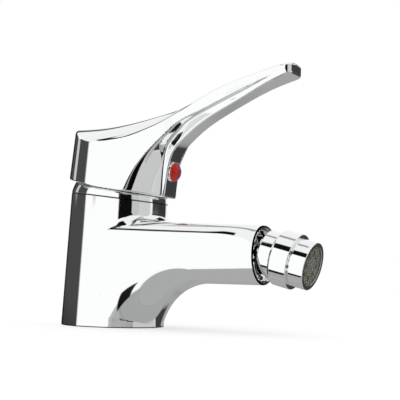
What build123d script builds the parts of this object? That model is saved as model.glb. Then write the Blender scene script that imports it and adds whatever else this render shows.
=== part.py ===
# A single-lever bidet mixer: a chromed body with a cast spout, a tilting and turning lever on a ceramic
# cartridge, and a swivelling aerator nozzle on a fixed ball.
# Millimetres, +Z up, +X along the spout. The origin is the centre of the base, on the deck.

import os
from math import asin, atan2, cos, hypot, pi, radians, sin, sqrt, tan

from build123d import *

os.makedirs("parts", exist_ok=True)

# General values
overrun = 5.0
reach_past = 120.0
outline_margin = 12.0
running_gap = 0.05
fit_gap = 0.1
seat_gap = 0.02

# Body
base_radius = 27.5
seam_radius = 26.1
seam_height = 68.3
seam_forward = 2.0
axis_tilt = 6.5

# Spout
spout_end = 88.8
spout_axis_drop = 29.2
spout_radius = 15.0
spout_top_rise = 1.4
swoop_radius = 29.0
flank_angle = 8.0
top_edge_radius = 4.5
end_flat = 0.1
nose_corner_share = 0.96
swoop_corner_share = 0.67
section_back = 2.0
deck_angle = 177
level_angle = 90
least_share = 0.001
blend_power = 12
swoop_sections = 16
straight_sections = 7

# Waterways in the body
inlet_spacing = 14.0
inlet_x = -6.0
inlet_thread_radius = 4.5
inlet_thread_depth = 12.0
inlet_drill_radius = 2.8
stud_x = 13.0
stud_thread_radius = 3.4
stud_thread_depth = 15.0
outlet_port_x = 7.0
outlet_drill_radius = 3.4
outlet_drill_drop = 4.3
waterway_radius = 7.5
waterway_start = 22.5
groove_inner_radius = 21.6
groove_width = 2.6
groove_depth = 2.2
base_seal_width = 2.4

# Cartridge chamber, measured along the tilted axis from the seam
chamber_radius = 17.7
chamber_floor = -27.0
nut_bore_radius = 19.8
nut_bore_floor = -9.0
collar_radius = 22.3
collar_height = 5.0

# Cartridge
port_plate_height = 4.0
port_seal_radius = 4.0
port_seal_wire = 1.1
port_seal_depth = 1.6
fixed_disc_radius = 14.2
fixed_disc_height = 3.2
moving_disc_radius = 11.4
moving_disc_height = 3.0
carrier_height = 5.4
carrier_offset = -2.8
port_radius = 2.8
housing_radius = 17.4
housing_wall = 1.6
housing_flange_radius = 19.4
housing_flange_height = 2.6
turret_disc_height = 5.0
turret_neck_radius = 10.4
turret_top = 6.2
slot_width = 9.4
nut_height = 7.0
nut_inner_radius = 17.6
spanner_notch = 3.0
port_plate_gap = 0.3
housing_top = -3.4
mixing_hollow_offset = 1.2
mixing_hollow_length = 15.0
mixing_hollow_width = 7.0
mixing_hollow_share = 0.5
socket_play = 0.15
ball_end_gap = 0.2
turret_window_length = 18.0
turret_window_corner = 2.3
turret_gap = 0.15
nut_notches = 4

# Spindle
spindle_ball_radius = 3.0
spindle_drop = 12.6
spindle_waist_radius = 2.3
spindle_thickness = 9.0
spindle_boss_radius = 5.2
spindle_square = 8.0
spindle_corner = 0.8
spindle_top = 26.0
pin_radius = 1.5
pin_length = 19.0

# Dome cover, heights above the seam
dome_wall = 1.7
dome_side_height = 7.0
dome_height = 11.4
dome_shoulder_radius = 20.6
dome_opening_radius = 16.0
dome_side_lean = 2.3
dome_joint_bevel = 0.3

# Lever
skirt_radius = 28.4
skirt_centre = 2.6
skirt_lean = 5.3
rim_above_seam = 4.5
rim_slope = 8.6
rim_back_slope = 12.5
nose_distance = 33.2
nose_rise_share = 0.28
plan_leave_angle = 75
lever_reach = 103.0
lever_rise = 62.6
tip_slope = 0.4
tip_edge_rise = 1.3
lever_crown_radius = 41.0
crown_half_angle = 58.0
hat_half_width = 26.5
tip_half_width = 8.4
pocket_gap = 0.6
lever_boss_radius = 7.4
lever_boss_bottom = 12.0

# Grub screw and index plug
grub_radius = 2.5
grub_length = 8.0
grub_socket = 1.3
grub_socket_depth = 2.5
plug_radius = 5.2
plug_seat_depth = 2.4
plug_ring_height = 0.4
plug_recess_depth = 1.2
plug_rim = 0.3
plug_side_height = 1.1
plug_crown_height = 2.5
plug_rise_share = 0.208

# Swivel nozzle, distances along its axis from the ball's centre
ball_x = 94.2
nozzle_tilt = 14.0
ball_radius = 9.4
ball_neck_radius = 5.2
stem_bore_radius = 3.4
stem_thread_radius = 10.8
stem_thread_length = 8.0
stem_flange_radius = 12.4
stem_flange_height = 1.5
recess_radius = 13.3
recess_depth = 7.3
stem_washer_height = 1.0
liner_wall = 0.8
liner_half_width = 2.6
socket_radius = 12.0
socket_back = -5.6
socket_back_chamfer = 1.6
socket_thread_end = 9.0
socket_bore_radius = 10.9
retainer_back = 5.9
retainer_opening_radius = 6.8
ball_seal_wire = 0.9
retainer_groove_front = 7.9
collar_back = 2.2
collar_length = 10.5
collar_ring_radius = 14.1
collar_ring_chamfer = 1.5
collar_web = 1.1
collar_web_opening = 8.2
aerator_thread_radius = 11.2
aerator_thread_length = 1.7
shell_radius = 12.1
shell_front = 21.1
shell_bore_radius = 10.3
shell_lip_radius = 9.9
shell_edge_bevel = 0.3
shell_lip = 0.7
mesh_thickness = 0.4
mesh_hole = 1.1
mesh_pitch = 1.9
mesh_border = 1.0
washer_height = 0.8
insert_length = 6.6
insert_channel_radius = 1.5
insert_channel_ring = 6.2
insert_channels = 8

# Frames
spout_axis_height = seam_height - spout_axis_drop
lean = radians(axis_tilt)
seam_centre = Vector(seam_forward, 0, seam_height)
cartridge_axis = Vector(sin(lean), 0, cos(lean))
cartridge_x = Vector(cos(lean), 0, -sin(lean))
tilt = radians(nozzle_tilt)
ball_centre = Vector(ball_x, 0, spout_axis_height)
nozzle_axis = Vector(cos(tilt), 0, -sin(tilt))


def cartridge_plane(height):
    """The plane across the cartridge at a height above the seam."""
    return Plane(origin=seam_centre + cartridge_axis * height, x_dir=cartridge_x, z_dir=cartridge_axis)


def nozzle_plane(distance):
    """The plane across the nozzle at a distance from the ball's centre."""
    return Plane(origin=ball_centre + nozzle_axis * distance, x_dir=(0, 1, 0), z_dir=nozzle_axis)


def spout_plane(x):
    """The plane across the spout, facing along it."""
    return Plane(origin=(x, 0, spout_axis_height), x_dir=(0, 1, 0), z_dir=(1, 0, 0))


cartridge_side = Plane(origin=seam_centre, x_dir=cartridge_x, z_dir=(0, -1, 0))
nozzle_side = Plane(origin=ball_centre, x_dir=nozzle_axis, z_dir=(0, -1, 0))
spout_side = Plane(origin=(0, 0, spout_axis_height), x_dir=(1, 0, 0), z_dir=(0, -1, 0))

# Body: the outer casting. The spout's sections turn with the swoop under it, from the deck to level, and then
# run straight to the round end. Their flanks leave the round body at a tangent.
underside_height = spout_axis_height - spout_radius
swoop_height = underside_height - swoop_radius
swoop_x = base_radius + sqrt(swoop_radius**2 - swoop_height**2)
flank_slope = tan(radians(flank_angle))


def body_radius(z):
    """The round body's radius at a height."""
    return base_radius + (seam_radius - base_radius) * z / seam_height


def flank_width(x, z):
    """Half the spout's width, on a flank that touches the round body."""
    centre = seam_forward * z / seam_height
    at_body = body_radius(z) / cos(radians(flank_angle)) - flank_slope * (x - centre)
    at_end = spout_radius + flank_slope * (spout_end - x)
    blend = min(1, max(0, x / spout_end))
    return at_body * (1 - blend) + at_end * blend


def top_height(x):
    """Height of the spout's top line, which falls a little towards its end."""
    return spout_axis_height + spout_radius + spout_top_rise * (1 - x / spout_end)


def smooth_least(first, second):
    """The smaller of two lengths, eased where they are nearly alike."""
    return (first**-blend_power + second**-blend_power) ** (-1 / blend_power)


def section_face(plane, near, far, near_width, far_width, near_share, far_radius):
    """A section as a face. Its near corners are a share of the roundest, its far corners have a radius."""
    flank_turn = atan2(far_width - near_width, far - near)
    half_corner = tan(pi / 4 - flank_turn / 2)
    far_room = hypot(far - near, far_width - near_width) - far_radius / half_corner
    near_radius = near_share * smooth_least(near_width, far_room) / half_corner
    with BuildSketch(plane) as section:
        with BuildLine():
            Polyline(
                (near, -near_width),
                (near, near_width),
                (far, far_width),
                (far, -far_width),
                close=True,
            )
        make_face()
        fillet(section.vertices().group_by(Axis.X)[0], near_radius)
        fillet(section.vertices().group_by(Axis.X)[-1], far_radius)
    return section.sketch.face()


def swoop_section(turn):
    """The section in the plane that stands at an angle round the swoop's centre, from the deck at 180."""
    out = Vector(cos(radians(turn)), 0, sin(radians(turn)))
    centre = Vector(swoop_x, 0, swoop_height)
    plane = Plane(origin=centre, x_dir=out, z_dir=(out.Z, 0, -out.X))
    share = 1 - (turn - level_angle) / level_angle
    to_top = (top_height(swoop_x) - swoop_height) / (out.Z + out.X * spout_top_rise / spout_end)
    to_back = (swoop_x - section_back) / max(-out.X, least_share)
    reach = smooth_least(to_top, to_back)
    near = centre + out * swoop_radius
    far = centre + out * reach
    near_width = flank_width(near.X, near.Z)
    far_width = flank_width(far.X, far.Z) - seat_gap
    corner_share = nose_corner_share + (swoop_corner_share - nose_corner_share) * share
    far_corner = top_edge_radius * (1 + share) / 2
    return section_face(plane, swoop_radius, reach, near_width, far_width, corner_share, far_corner)


def straight_section(share):
    """The upright section at a share of the straight run, whose corners grow to the round end."""
    x = swoop_x + (spout_end - swoop_x) * share
    upright = Plane(origin=(x, 0, 0), x_dir=(0, 0, 1), z_dir=(-1, 0, 0))
    end_share = 1 - end_flat / spout_radius
    corner_share = swoop_corner_share + (end_share - swoop_corner_share) * share
    high_corner = top_edge_radius + (spout_radius - end_flat - top_edge_radius) * share**2
    width = flank_width(x, spout_axis_height)
    return section_face(upright, underside_height, top_height(x), width, width, corner_share, high_corner)


turn_step = (deck_angle - level_angle) / swoop_sections
with BuildPart() as spout_block:
    add([swoop_section(deck_angle - turn_step * step) for step in range(swoop_sections + 1)])
    add([straight_section((step + 1) / straight_sections) for step in range(straight_sections)])
    loft(ruled=True)

seam_plane = cartridge_plane(0)
floor_plane = cartridge_plane(chamber_floor)
inlet_local_x = (inlet_x - floor_plane.origin.X) / cos(lean)
port_places = [
    (inlet_local_x, inlet_spacing / 2),
    (inlet_local_x, -inlet_spacing / 2),
    (outlet_port_x, 0),
]
outlet_x = floor_plane.origin.X + outlet_port_x * cos(lean)
outlet_drill_height = spout_axis_height - outlet_drill_drop
recess_floor = spout_end - recess_depth

with BuildPart() as mixer_body:
    with BuildSketch(Plane.XY):
        Circle(base_radius)
    with BuildSketch(seam_plane):
        Circle(seam_radius)
    loft()
    add(spout_block.part)
    with BuildSketch(Plane.XY):
        Circle(reach_past)
    extrude(amount=-reach_past, mode=Mode.SUBTRACT)
    # the threaded collar that the dome screws on
    with BuildSketch(seam_plane):
        Circle(collar_radius)
    extrude(amount=collar_height)
    # the stepped chamber for the cartridge and its nut
    with BuildSketch(floor_plane):
        Circle(chamber_radius)
    extrude(amount=collar_height - chamber_floor + overrun, mode=Mode.SUBTRACT)
    with BuildSketch(cartridge_plane(nut_bore_floor)):
        Circle(nut_bore_radius)
    extrude(amount=collar_height - nut_bore_floor + overrun, mode=Mode.SUBTRACT)
    # the two inlets: a threaded mouth each, and a drilling up to the chamber
    with BuildSketch(Plane.XY):
        with Locations((inlet_x, inlet_spacing / 2), (inlet_x, -inlet_spacing / 2)):
            Circle(inlet_thread_radius)
    extrude(amount=inlet_thread_depth, mode=Mode.SUBTRACT)
    with BuildSketch(Plane.XY):
        with Locations((inlet_x, inlet_spacing / 2), (inlet_x, -inlet_spacing / 2)):
            Circle(inlet_drill_radius)
    extrude(amount=floor_plane.origin.Z + overrun / 2, mode=Mode.SUBTRACT)
    # the threaded hole for the fixing stud
    with BuildSketch(Plane.XY):
        with Locations((stud_x, 0)):
            Circle(stud_thread_radius)
    extrude(amount=stud_thread_depth, mode=Mode.SUBTRACT)
    # the way out: down from the chamber, forward under it, and along the spout
    with BuildSketch(Plane.XY.offset(outlet_drill_height)):
        with Locations((outlet_x, 0)):
            Circle(outlet_drill_radius)
    extrude(amount=floor_plane.origin.Z - outlet_drill_height, mode=Mode.SUBTRACT)
    with BuildSketch(Plane(origin=(outlet_x, 0, outlet_drill_height), x_dir=(0, 1, 0), z_dir=(1, 0, 0))):
        Circle(outlet_drill_radius)
    extrude(amount=waterway_start + overrun - outlet_x, mode=Mode.SUBTRACT)
    with BuildSketch(spout_plane(waterway_start)):
        Circle(waterway_radius)
    extrude(amount=spout_end - waterway_start + overrun, mode=Mode.SUBTRACT)
    # the thread and the recess for the ball stem
    with BuildSketch(spout_plane(recess_floor - stem_thread_length - overrun / 2)):
        Circle(stem_thread_radius + running_gap)
    extrude(amount=recess_depth + stem_thread_length + overrun, mode=Mode.SUBTRACT)
    with BuildSketch(spout_plane(recess_floor)):
        Circle(recess_radius)
    extrude(amount=recess_depth + overrun, mode=Mode.SUBTRACT)
    # the groove for the base seal
    with BuildSketch(Plane.XY):
        Circle(groove_inner_radius + groove_width)
        Circle(groove_inner_radius, mode=Mode.SUBTRACT)
    extrude(amount=groove_depth, mode=Mode.SUBTRACT)
mixer_body.part.label = "mixer_body"
export_step(mixer_body.part, "parts/mixer_body.step")

# Base seal: a flat rubber ring in its groove, level with the deck
with BuildPart() as base_seal:
    with BuildSketch(Plane.XY):
        Circle(groove_inner_radius + fit_gap + base_seal_width)
        Circle(groove_inner_radius + fit_gap, mode=Mode.SUBTRACT)
    extrude(amount=groove_depth)
base_seal.part.label = "base_seal"
export_step(base_seal.part, "parts/base_seal.step")

# Cartridge: heights above the seam, from the port plate up
plate_bottom = chamber_floor + port_plate_gap
plate_top = plate_bottom + port_plate_height
fixed_disc_top = plate_top + fixed_disc_height
moving_disc_bottom = fixed_disc_top + seat_gap
moving_disc_top = moving_disc_bottom + moving_disc_height
carrier_top = moving_disc_top + carrier_height
turret_bottom = carrier_top + turret_gap
turret_disc_top = turret_bottom + turret_disc_height
flange_top = nut_bore_floor + housing_flange_height
housing_inner = housing_radius - housing_wall
seal_pocket_radius = port_seal_radius + fit_gap
seal_top = plate_bottom + port_seal_depth

with BuildPart() as cartridge_base:
    with BuildSketch(cartridge_plane(plate_bottom)):
        Circle(housing_radius)
        with Locations(port_places):
            Circle(port_radius, mode=Mode.SUBTRACT)
    extrude(amount=port_plate_height)
    with BuildSketch(cartridge_plane(plate_bottom)):
        with Locations(port_places):
            Circle(seal_pocket_radius)
    extrude(amount=port_seal_depth, mode=Mode.SUBTRACT)
cartridge_base.part.label = "cartridge_base"
export_step(cartridge_base.part, "parts/cartridge_base.step")

with BuildPart() as port_seals:
    with BuildSketch(floor_plane):
        with Locations(port_places):
            Circle(port_seal_radius)
            Circle(port_seal_radius - port_seal_wire, mode=Mode.SUBTRACT)
    extrude(amount=seal_top - chamber_floor)
port_seals.part.label = "port_seals"
export_step(port_seals.part, "parts/port_seals.step")

with BuildPart() as fixed_disc:
    with BuildSketch(cartridge_plane(plate_top)):
        Circle(fixed_disc_radius)
        with Locations(port_places):
            Circle(port_radius, mode=Mode.SUBTRACT)
    extrude(amount=fixed_disc_height)
fixed_disc.part.label = "fixed_disc"
export_step(fixed_disc.part, "parts/fixed_disc.step")

# The moving disc has a hollow in its underside that joins the ports it stands over
with BuildPart() as moving_disc:
    with BuildSketch(cartridge_plane(moving_disc_bottom)):
        with Locations((carrier_offset, 0)):
            Circle(moving_disc_radius)
    extrude(amount=moving_disc_height)
    with BuildSketch(cartridge_plane(moving_disc_bottom)):
        with Locations((carrier_offset + mixing_hollow_offset, 0)):
            SlotOverall(mixing_hollow_length, mixing_hollow_width)
    extrude(amount=moving_disc_height * mixing_hollow_share, mode=Mode.SUBTRACT)
moving_disc.part.label = "moving_disc"
export_step(moving_disc.part, "parts/moving_disc.step")

with BuildPart() as disc_carrier:
    with BuildSketch(cartridge_plane(moving_disc_top)):
        with Locations((carrier_offset, 0)):
            Circle(moving_disc_radius)
    extrude(amount=carrier_height)
    with BuildSketch(cartridge_plane(-spindle_drop - spindle_ball_radius - ball_end_gap)):
        Circle(spindle_ball_radius + socket_play)
    extrude(amount=spindle_drop, mode=Mode.SUBTRACT)
disc_carrier.part.label = "disc_carrier"
export_step(disc_carrier.part, "parts/disc_carrier.step")

# Housing: a plastic shell with a flange that the nut clamps on the chamber's ledge
with BuildPart() as cartridge_housing:
    with BuildSketch(cartridge_plane(plate_top)):
        Circle(housing_radius)
    extrude(amount=housing_top - plate_top)
    with BuildSketch(cartridge_plane(nut_bore_floor)):
        Circle(housing_flange_radius)
    extrude(amount=housing_flange_height)
    with BuildSketch(cartridge_plane(plate_top)):
        Circle(housing_inner)
    extrude(amount=turret_disc_top + turret_gap - plate_top, mode=Mode.SUBTRACT)
    with BuildSketch(cartridge_plane(plate_top)):
        Circle(turret_neck_radius + running_gap)
    extrude(amount=housing_top - plate_top + overrun, mode=Mode.SUBTRACT)
cartridge_housing.part.label = "cartridge_housing"
export_step(cartridge_housing.part, "parts/cartridge_housing.step")

# Turret: a disc in the housing, and a neck with two cheeks that hold the pin
with BuildPart() as turret:
    with BuildSketch(cartridge_plane(turret_bottom)):
        Circle(housing_inner - running_gap)
    extrude(amount=turret_disc_height)
    with BuildSketch(cartridge_plane(turret_disc_top)):
        Circle(turret_neck_radius)
    extrude(amount=turret_top - turret_disc_top)
    with BuildSketch(cartridge_plane(turret_bottom)):
        RectangleRounded(turret_window_length, slot_width, turret_window_corner)
    extrude(amount=turret_disc_height, mode=Mode.SUBTRACT)
    with BuildSketch(cartridge_plane(turret_disc_top)):
        Rectangle(reach_past, slot_width)
    extrude(amount=turret_top - turret_disc_top, mode=Mode.SUBTRACT)
    with BuildSketch(cartridge_side):
        Circle(pin_radius + seat_gap)
    extrude(amount=reach_past, both=True, mode=Mode.SUBTRACT)
turret.part.label = "turret"
export_step(turret.part, "parts/turret.step")

with BuildPart() as spindle_pin:
    with BuildSketch(cartridge_side):
        Circle(pin_radius)
    extrude(amount=pin_length / 2, both=True)
spindle_pin.part.label = "spindle_pin"
export_step(spindle_pin.part, "parts/spindle_pin.step")

# Spindle: a ball end that drives the carrier, a boss on the pin and a square shank in the lever
with BuildPart() as spindle:
    with BuildSketch(cartridge_side):
        Circle(spindle_boss_radius)
    extrude(amount=spindle_thickness / 2, both=True)
    with BuildSketch(seam_plane):
        RectangleRounded(spindle_square, spindle_square, spindle_corner)
    extrude(amount=spindle_top)
    with BuildSketch(cartridge_plane(-spindle_drop)):
        Circle(spindle_waist_radius)
    extrude(amount=spindle_drop)
    with BuildSketch(cartridge_side):
        with BuildLine():
            ball_low = (0, -spindle_drop - spindle_ball_radius)
            ball_high = (0, -spindle_drop + spindle_ball_radius)
            ThreePointArc(ball_low, (spindle_ball_radius, -spindle_drop), ball_high)
            Line(ball_high, ball_low)
        make_face()
    revolve(axis=Axis(origin=seam_centre, direction=cartridge_axis))
    with BuildSketch(cartridge_side):
        Circle(pin_radius + running_gap)
    extrude(amount=spindle_thickness, both=True, mode=Mode.SUBTRACT)
spindle.part.label = "spindle"
export_step(spindle.part, "parts/spindle.step")

# Cartridge nut: a ring in the body's thread, with notches for a spanner
with BuildPart() as cartridge_nut:
    with BuildSketch(cartridge_plane(flange_top)):
        Circle(nut_bore_radius - fit_gap)
        Circle(nut_inner_radius, mode=Mode.SUBTRACT)
    extrude(amount=nut_height)
    with BuildSketch(cartridge_plane(flange_top + nut_height - spanner_notch / 2)):
        with PolarLocations(nut_bore_radius, nut_notches):
            Rectangle(nut_bore_radius, spanner_notch)
    extrude(amount=spanner_notch, mode=Mode.SUBTRACT)
cartridge_nut.part.label = "cartridge_nut"
export_step(cartridge_nut.part, "parts/cartridge_nut.step")

# Dome cover: a turned shell that screws on the body's collar
cartridge_line = Axis(origin=seam_centre, direction=cartridge_axis)
with BuildPart() as dome_cover:
    with BuildSketch(cartridge_side):
        with BuildLine():
            foot = (seam_radius, dome_joint_bevel)
            brow = (seam_radius - dome_side_lean, dome_side_height)
            crown = (dome_opening_radius, dome_height)
            Spline(foot, brow, crown, tangents=((0, 1), (-1, 0)))
            under = (dome_opening_radius, dome_height - dome_wall)
            shoulder = (dome_shoulder_radius, dome_side_height + dome_wall / 2)
            thread_top = (collar_radius + fit_gap, collar_height + fit_gap)
            thread_foot = (collar_radius + fit_gap, 0)
            Polyline(crown, under, shoulder, thread_top, thread_foot)
            Polyline(thread_foot, (seam_radius - dome_joint_bevel, 0), foot)
        make_face()
    revolve(axis=cartridge_line)
dome_cover.part.label = "dome_cover"
export_step(dome_cover.part, "parts/dome_cover.step")

# Lever: the crowned top, the plan outline and the side outline are three solids, and the lever is what they
# share, less two scoops beside the nose and the round pocket that swings over the dome.
rim_height = seam_height + rim_above_seam
lever_tip_height = rim_height + lever_rise
nose_height = rim_above_seam + nose_rise_share * lever_rise


def lever_point(share):
    """A point of the side outline, from its shares of the reach and of the rise."""
    return (share[0] * lever_reach, rim_height + share[1] * lever_rise)


# Along the reach, up the rise, and the crown's radius as a share of its largest
top_shares = [
    (-0.33, 0.533, 1.0), (-0.13, 0.537, 0.97), (0, 0.548, 0.95), (0.204, 0.602, 0.74),
    (0.384, 0.676, 0.52), (0.485, 0.741, 0.61), (0.607, 0.832, 0.80), (0.825, 0.944, 1.07), (1.06, 1.02, 1.2),
]
under_shares = [
    (0.382, 0.307), (0.402, 0.357), (0.439, 0.417), (0.505, 0.511),
    (0.625, 0.629), (0.762, 0.743), (0.896, 0.848), (0.985, 0.914),
]

with BuildPart() as lever_crown:
    for share in top_shares:
        x, z = lever_point(share)
        radius = lever_crown_radius * share[2]
        turn = radians(crown_half_angle)
        edge = (radius * sin(turn), z - radius * (1 - cos(turn)))
        low = z - lever_rise
        out = hat_half_width + overrun
        with BuildSketch(Plane(origin=(x, 0, 0), x_dir=(0, 1, 0), z_dir=(1, 0, 0))):
            with BuildLine():
                ThreePointArc((-edge[0], edge[1]), (0, z), edge)
                Polyline(edge, (out, low), (-out, low), (-edge[0], edge[1]))
            make_face()
    loft()

plan_shares = [
    (0.194, 0.876), (0.243, 0.785), (0.301, 0.657), (0.359, 0.525), (0.413, 0.392),
    (0.466, 0.332), (0.563, 0.309), (0.777, 0.304),
]
tip_corner = (lever_reach, tip_half_width)


def plan_outline(z):
    """The lever seen from above at a height: round at the back, narrowing to the arm."""
    radius = skirt_radius - (z - rim_height) * tan(radians(skirt_lean))
    leave = radians(plan_leave_angle)
    start = Vector(skirt_centre + radius * cos(leave), radius * sin(leave))
    with BuildSketch(Plane.XY.offset(z)) as outline:
        with BuildLine():
            points = [start] + [Vector(a * lever_reach, b * hat_half_width) for a, b in plan_shares]
            points.append(Vector(*tip_corner))
            mirrored = [Vector(p.X, -p.Y) for p in points]
            Spline(points, tangents=(Vector(sin(leave), -cos(leave)), Vector(1, 0)))
            Line(points[-1], mirrored[-1])
            Spline(mirrored, tangents=(Vector(sin(leave), cos(leave)), Vector(1, 0)))
            ThreePointArc(points[0], (skirt_centre - radius, 0), mirrored[0])
        make_face()
    return outline.sketch.face()


with BuildPart() as lever_plan:
    add([plan_outline(rim_height - outline_margin), plan_outline(lever_tip_height + outline_margin)])
    loft(ruled=True)

back_x = skirt_centre - skirt_radius
rim_front_x = seam_forward + nose_distance * cos(lean)
rim_front_z = rim_height - (rim_front_x - skirt_centre) * tan(radians(rim_slope))
rim_back_z = rim_height + (skirt_centre - back_x) * tan(radians(rim_back_slope))
nose_foot = seam_centre + cartridge_x * nose_distance + cartridge_axis * (rim_front_z - seam_height)
nose_head = seam_centre + cartridge_x * nose_distance + cartridge_axis * nose_height

with BuildPart() as lever_side:
    with BuildSketch(Plane.XZ):
        with BuildLine():
            points = [lever_point(share) for share in under_shares]
            head = (nose_head.X, nose_head.Z)
            foot = (nose_foot.X, nose_foot.Z)
            Spline([head] + points, tangents=(Vector(sin(lean), cos(lean)), Vector(1, tip_slope)))
            Polyline(
                points[-1],
                (lever_reach, points[-1][1] + tip_edge_rise),
                (lever_reach, lever_tip_height + outline_margin),
                (back_x - overrun, lever_tip_height + outline_margin),
                (back_x - overrun, rim_back_z + overrun * tan(radians(rim_back_slope))),
                (skirt_centre, rim_height),
                foot,
                head,
            )
        make_face()
    extrude(amount=hat_half_width + outline_margin, both=True)

scoop_shares = [
    (-0.11, 0.170, 0.868, 0.311, 0.242),
    (0, 0.197, 0.830, 0.311, 0.242),
    (0.187, 0.243, 0.774, 0.311, 0.242),
    (0.331, 0.301, 0.650, 0.320, 0.240),
    (0.450, 0.359, 0.515, 0.368, 0.236),
    (0.546, 0.413, 0.378, 0.422, 0.236),
    (0.642, 0.524, 0.296, 0.534, 0.254),
    (0.770, 0.700, 0.286, 0.710, 0.274),
    (1.060, 1.080, 0.305, 1.090, 0.300),
]

with BuildPart() as scoop:
    for rise_share, edge_x, edge_y, crease_x, crease_y in scoop_shares:
        with BuildSketch(Plane.XY.offset(rim_height + rise_share * lever_rise)):
            with BuildLine():
                far_x = lever_reach + reach_past
                far_y = hat_half_width + outline_margin
                Polyline(
                    (edge_x * lever_reach, edge_y * hat_half_width),
                    (crease_x * lever_reach, crease_y * hat_half_width),
                    (far_x, crease_y * hat_half_width),
                    (far_x, far_y),
                    (edge_x * lever_reach, far_y),
                    close=True,
                )
            make_face()
    loft(ruled=True)


# The inside of the lever: a ball-shaped pocket that clears the dome as the lever swings, a boss with a square
# hole for the spindle, and a threaded hole behind the index plug for the grub screw.
pocket_radius = seam_radius + pocket_gap
plug_above_seam = rim_above_seam + plug_rise_share * lever_rise
plug_seat_plane = Plane(
    origin=seam_centre + cartridge_x * (nose_distance - plug_seat_depth) + cartridge_axis * plug_above_seam,
    x_dir=(0, 1, 0),
    z_dir=cartridge_x,
)

with BuildPart() as lever_pocket:
    with BuildSketch(cartridge_side):
        with BuildLine():
            ThreePointArc((0, -pocket_radius), (pocket_radius, 0), (0, pocket_radius))
            Line((0, pocket_radius), (0, -pocket_radius))
        make_face()
    revolve(axis=cartridge_line)
    with BuildSketch(cartridge_plane(lever_boss_bottom)):
        Circle(lever_boss_radius)
    extrude(amount=pocket_radius, mode=Mode.SUBTRACT)

with BuildPart() as lever:
    add(lever_crown.part)
    add(lever_plan.part, mode=Mode.INTERSECT)
    add(lever_side.part, mode=Mode.INTERSECT)
    add(scoop.part, mode=Mode.SUBTRACT)
    add(scoop.part.mirror(Plane.XZ), mode=Mode.SUBTRACT)
    add(lever_pocket.part, mode=Mode.SUBTRACT)
    with BuildSketch(seam_plane):
        Rectangle(spindle_square + fit_gap, spindle_square + fit_gap)
    extrude(amount=spindle_top + fit_gap, mode=Mode.SUBTRACT)
    with BuildSketch(plug_seat_plane):
        Circle(plug_radius + seat_gap)
    extrude(amount=plug_seat_depth + overrun, mode=Mode.SUBTRACT)
    with BuildSketch(plug_seat_plane):
        Circle(grub_radius + running_gap)
    extrude(amount=-(nose_distance - plug_seat_depth), mode=Mode.SUBTRACT)
lever.part.label = "lever"
export_step(lever.part, "parts/lever.step")

# Grub screw: it presses on the spindle's square, and has a six-sided socket
grub_plane = plug_seat_plane.offset(spindle_square / 2 + seat_gap - (nose_distance - plug_seat_depth))
with BuildPart() as grub_screw:
    with BuildSketch(grub_plane):
        Circle(grub_radius)
    extrude(amount=grub_length)
    with BuildSketch(grub_plane.offset(grub_length)):
        RegularPolygon(grub_socket, 6)
    extrude(amount=-grub_socket_depth, mode=Mode.SUBTRACT)
grub_screw.part.label = "grub_screw"
export_step(grub_screw.part, "parts/grub_screw.step")

# Index plug: a ring in the nose that holds a domed button, half red and half blue
plug_line = Axis(origin=plug_seat_plane.origin, direction=cartridge_x)
plug_side = Plane(origin=plug_seat_plane.origin, x_dir=cartridge_x, z_dir=(0, -1, 0))
plug_ring_front = plug_seat_depth + plug_ring_height
button_radius = plug_radius - plug_rim
button_back = plug_ring_front - plug_recess_depth + seat_gap
button_edge = plug_seat_depth + plug_side_height
button_front = button_edge + plug_crown_height
button_crown_radius = (button_radius**2 + plug_crown_height**2) / (2 * plug_crown_height)
button_mid_turn = asin(button_radius / button_crown_radius) / 2

with BuildPart() as index_plug:
    with BuildSketch(plug_seat_plane):
        Circle(plug_radius)
    extrude(amount=plug_ring_front)
    with BuildSketch(plug_seat_plane.offset(plug_ring_front)):
        Circle(button_radius)
    extrude(amount=-plug_recess_depth, mode=Mode.SUBTRACT)
index_plug.part.label = "index_plug"
export_step(index_plug.part, "parts/index_plug.step")

with BuildSketch(plug_side) as button_outline:
    with BuildLine():
        ThreePointArc(
            (button_edge, button_radius - seat_gap),
            (
                button_front - button_crown_radius * (1 - cos(button_mid_turn)),
                button_crown_radius * sin(button_mid_turn),
            ),
            (button_front, 0),
        )
        Polyline(
            (button_front, 0),
            (button_back, 0),
            (button_back, button_radius - seat_gap),
            (button_edge, button_radius - seat_gap),
        )
    make_face()

with BuildPart() as index_red:
    add(button_outline.sketch)
    revolve(axis=plug_line)
    split(bisect_by=Plane.XZ.offset(seat_gap), keep=Keep.TOP)
index_red.part.label = "index_red"
export_step(index_red.part, "parts/index_red.step")

with BuildPart() as index_blue:
    add(button_outline.sketch)
    revolve(axis=plug_line)
    split(bisect_by=Plane.XZ.offset(-seat_gap), keep=Keep.BOTTOM)
index_blue.part.label = "index_blue"
export_step(index_blue.part, "parts/index_blue.step")

# Ball stem: a thread in the spout, a flange on a washer, a neck and the ball, with a bore right through
stem_start = recess_floor - stem_thread_length
flange_back = recess_floor + stem_washer_height
stem_line = Axis(origin=(0, 0, spout_axis_height), direction=(1, 0, 0))

with BuildPart() as ball_stem:
    with BuildSketch(spout_side):
        with BuildLine():
            ThreePointArc((ball_x - ball_radius, 0), (ball_x, ball_radius), (ball_x + ball_radius, 0))
            Line((ball_x + ball_radius, 0), (ball_x - ball_radius, 0))
        make_face()
        with BuildLine():
            Polyline(
                (stem_start, 0),
                (stem_start, stem_thread_radius),
                (flange_back, stem_thread_radius),
                (flange_back, stem_flange_radius),
                (flange_back + stem_flange_height, stem_flange_radius),
                (flange_back + stem_flange_height, ball_neck_radius),
                (ball_x, ball_neck_radius),
                (ball_x, 0),
                close=True,
            )
        make_face()
    revolve(axis=stem_line)
    with BuildSketch(spout_plane(stem_start)):
        Circle(stem_bore_radius)
    extrude(amount=reach_past, mode=Mode.SUBTRACT)
ball_stem.part.label = "ball_stem"
export_step(ball_stem.part, "parts/ball_stem.step")

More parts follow.
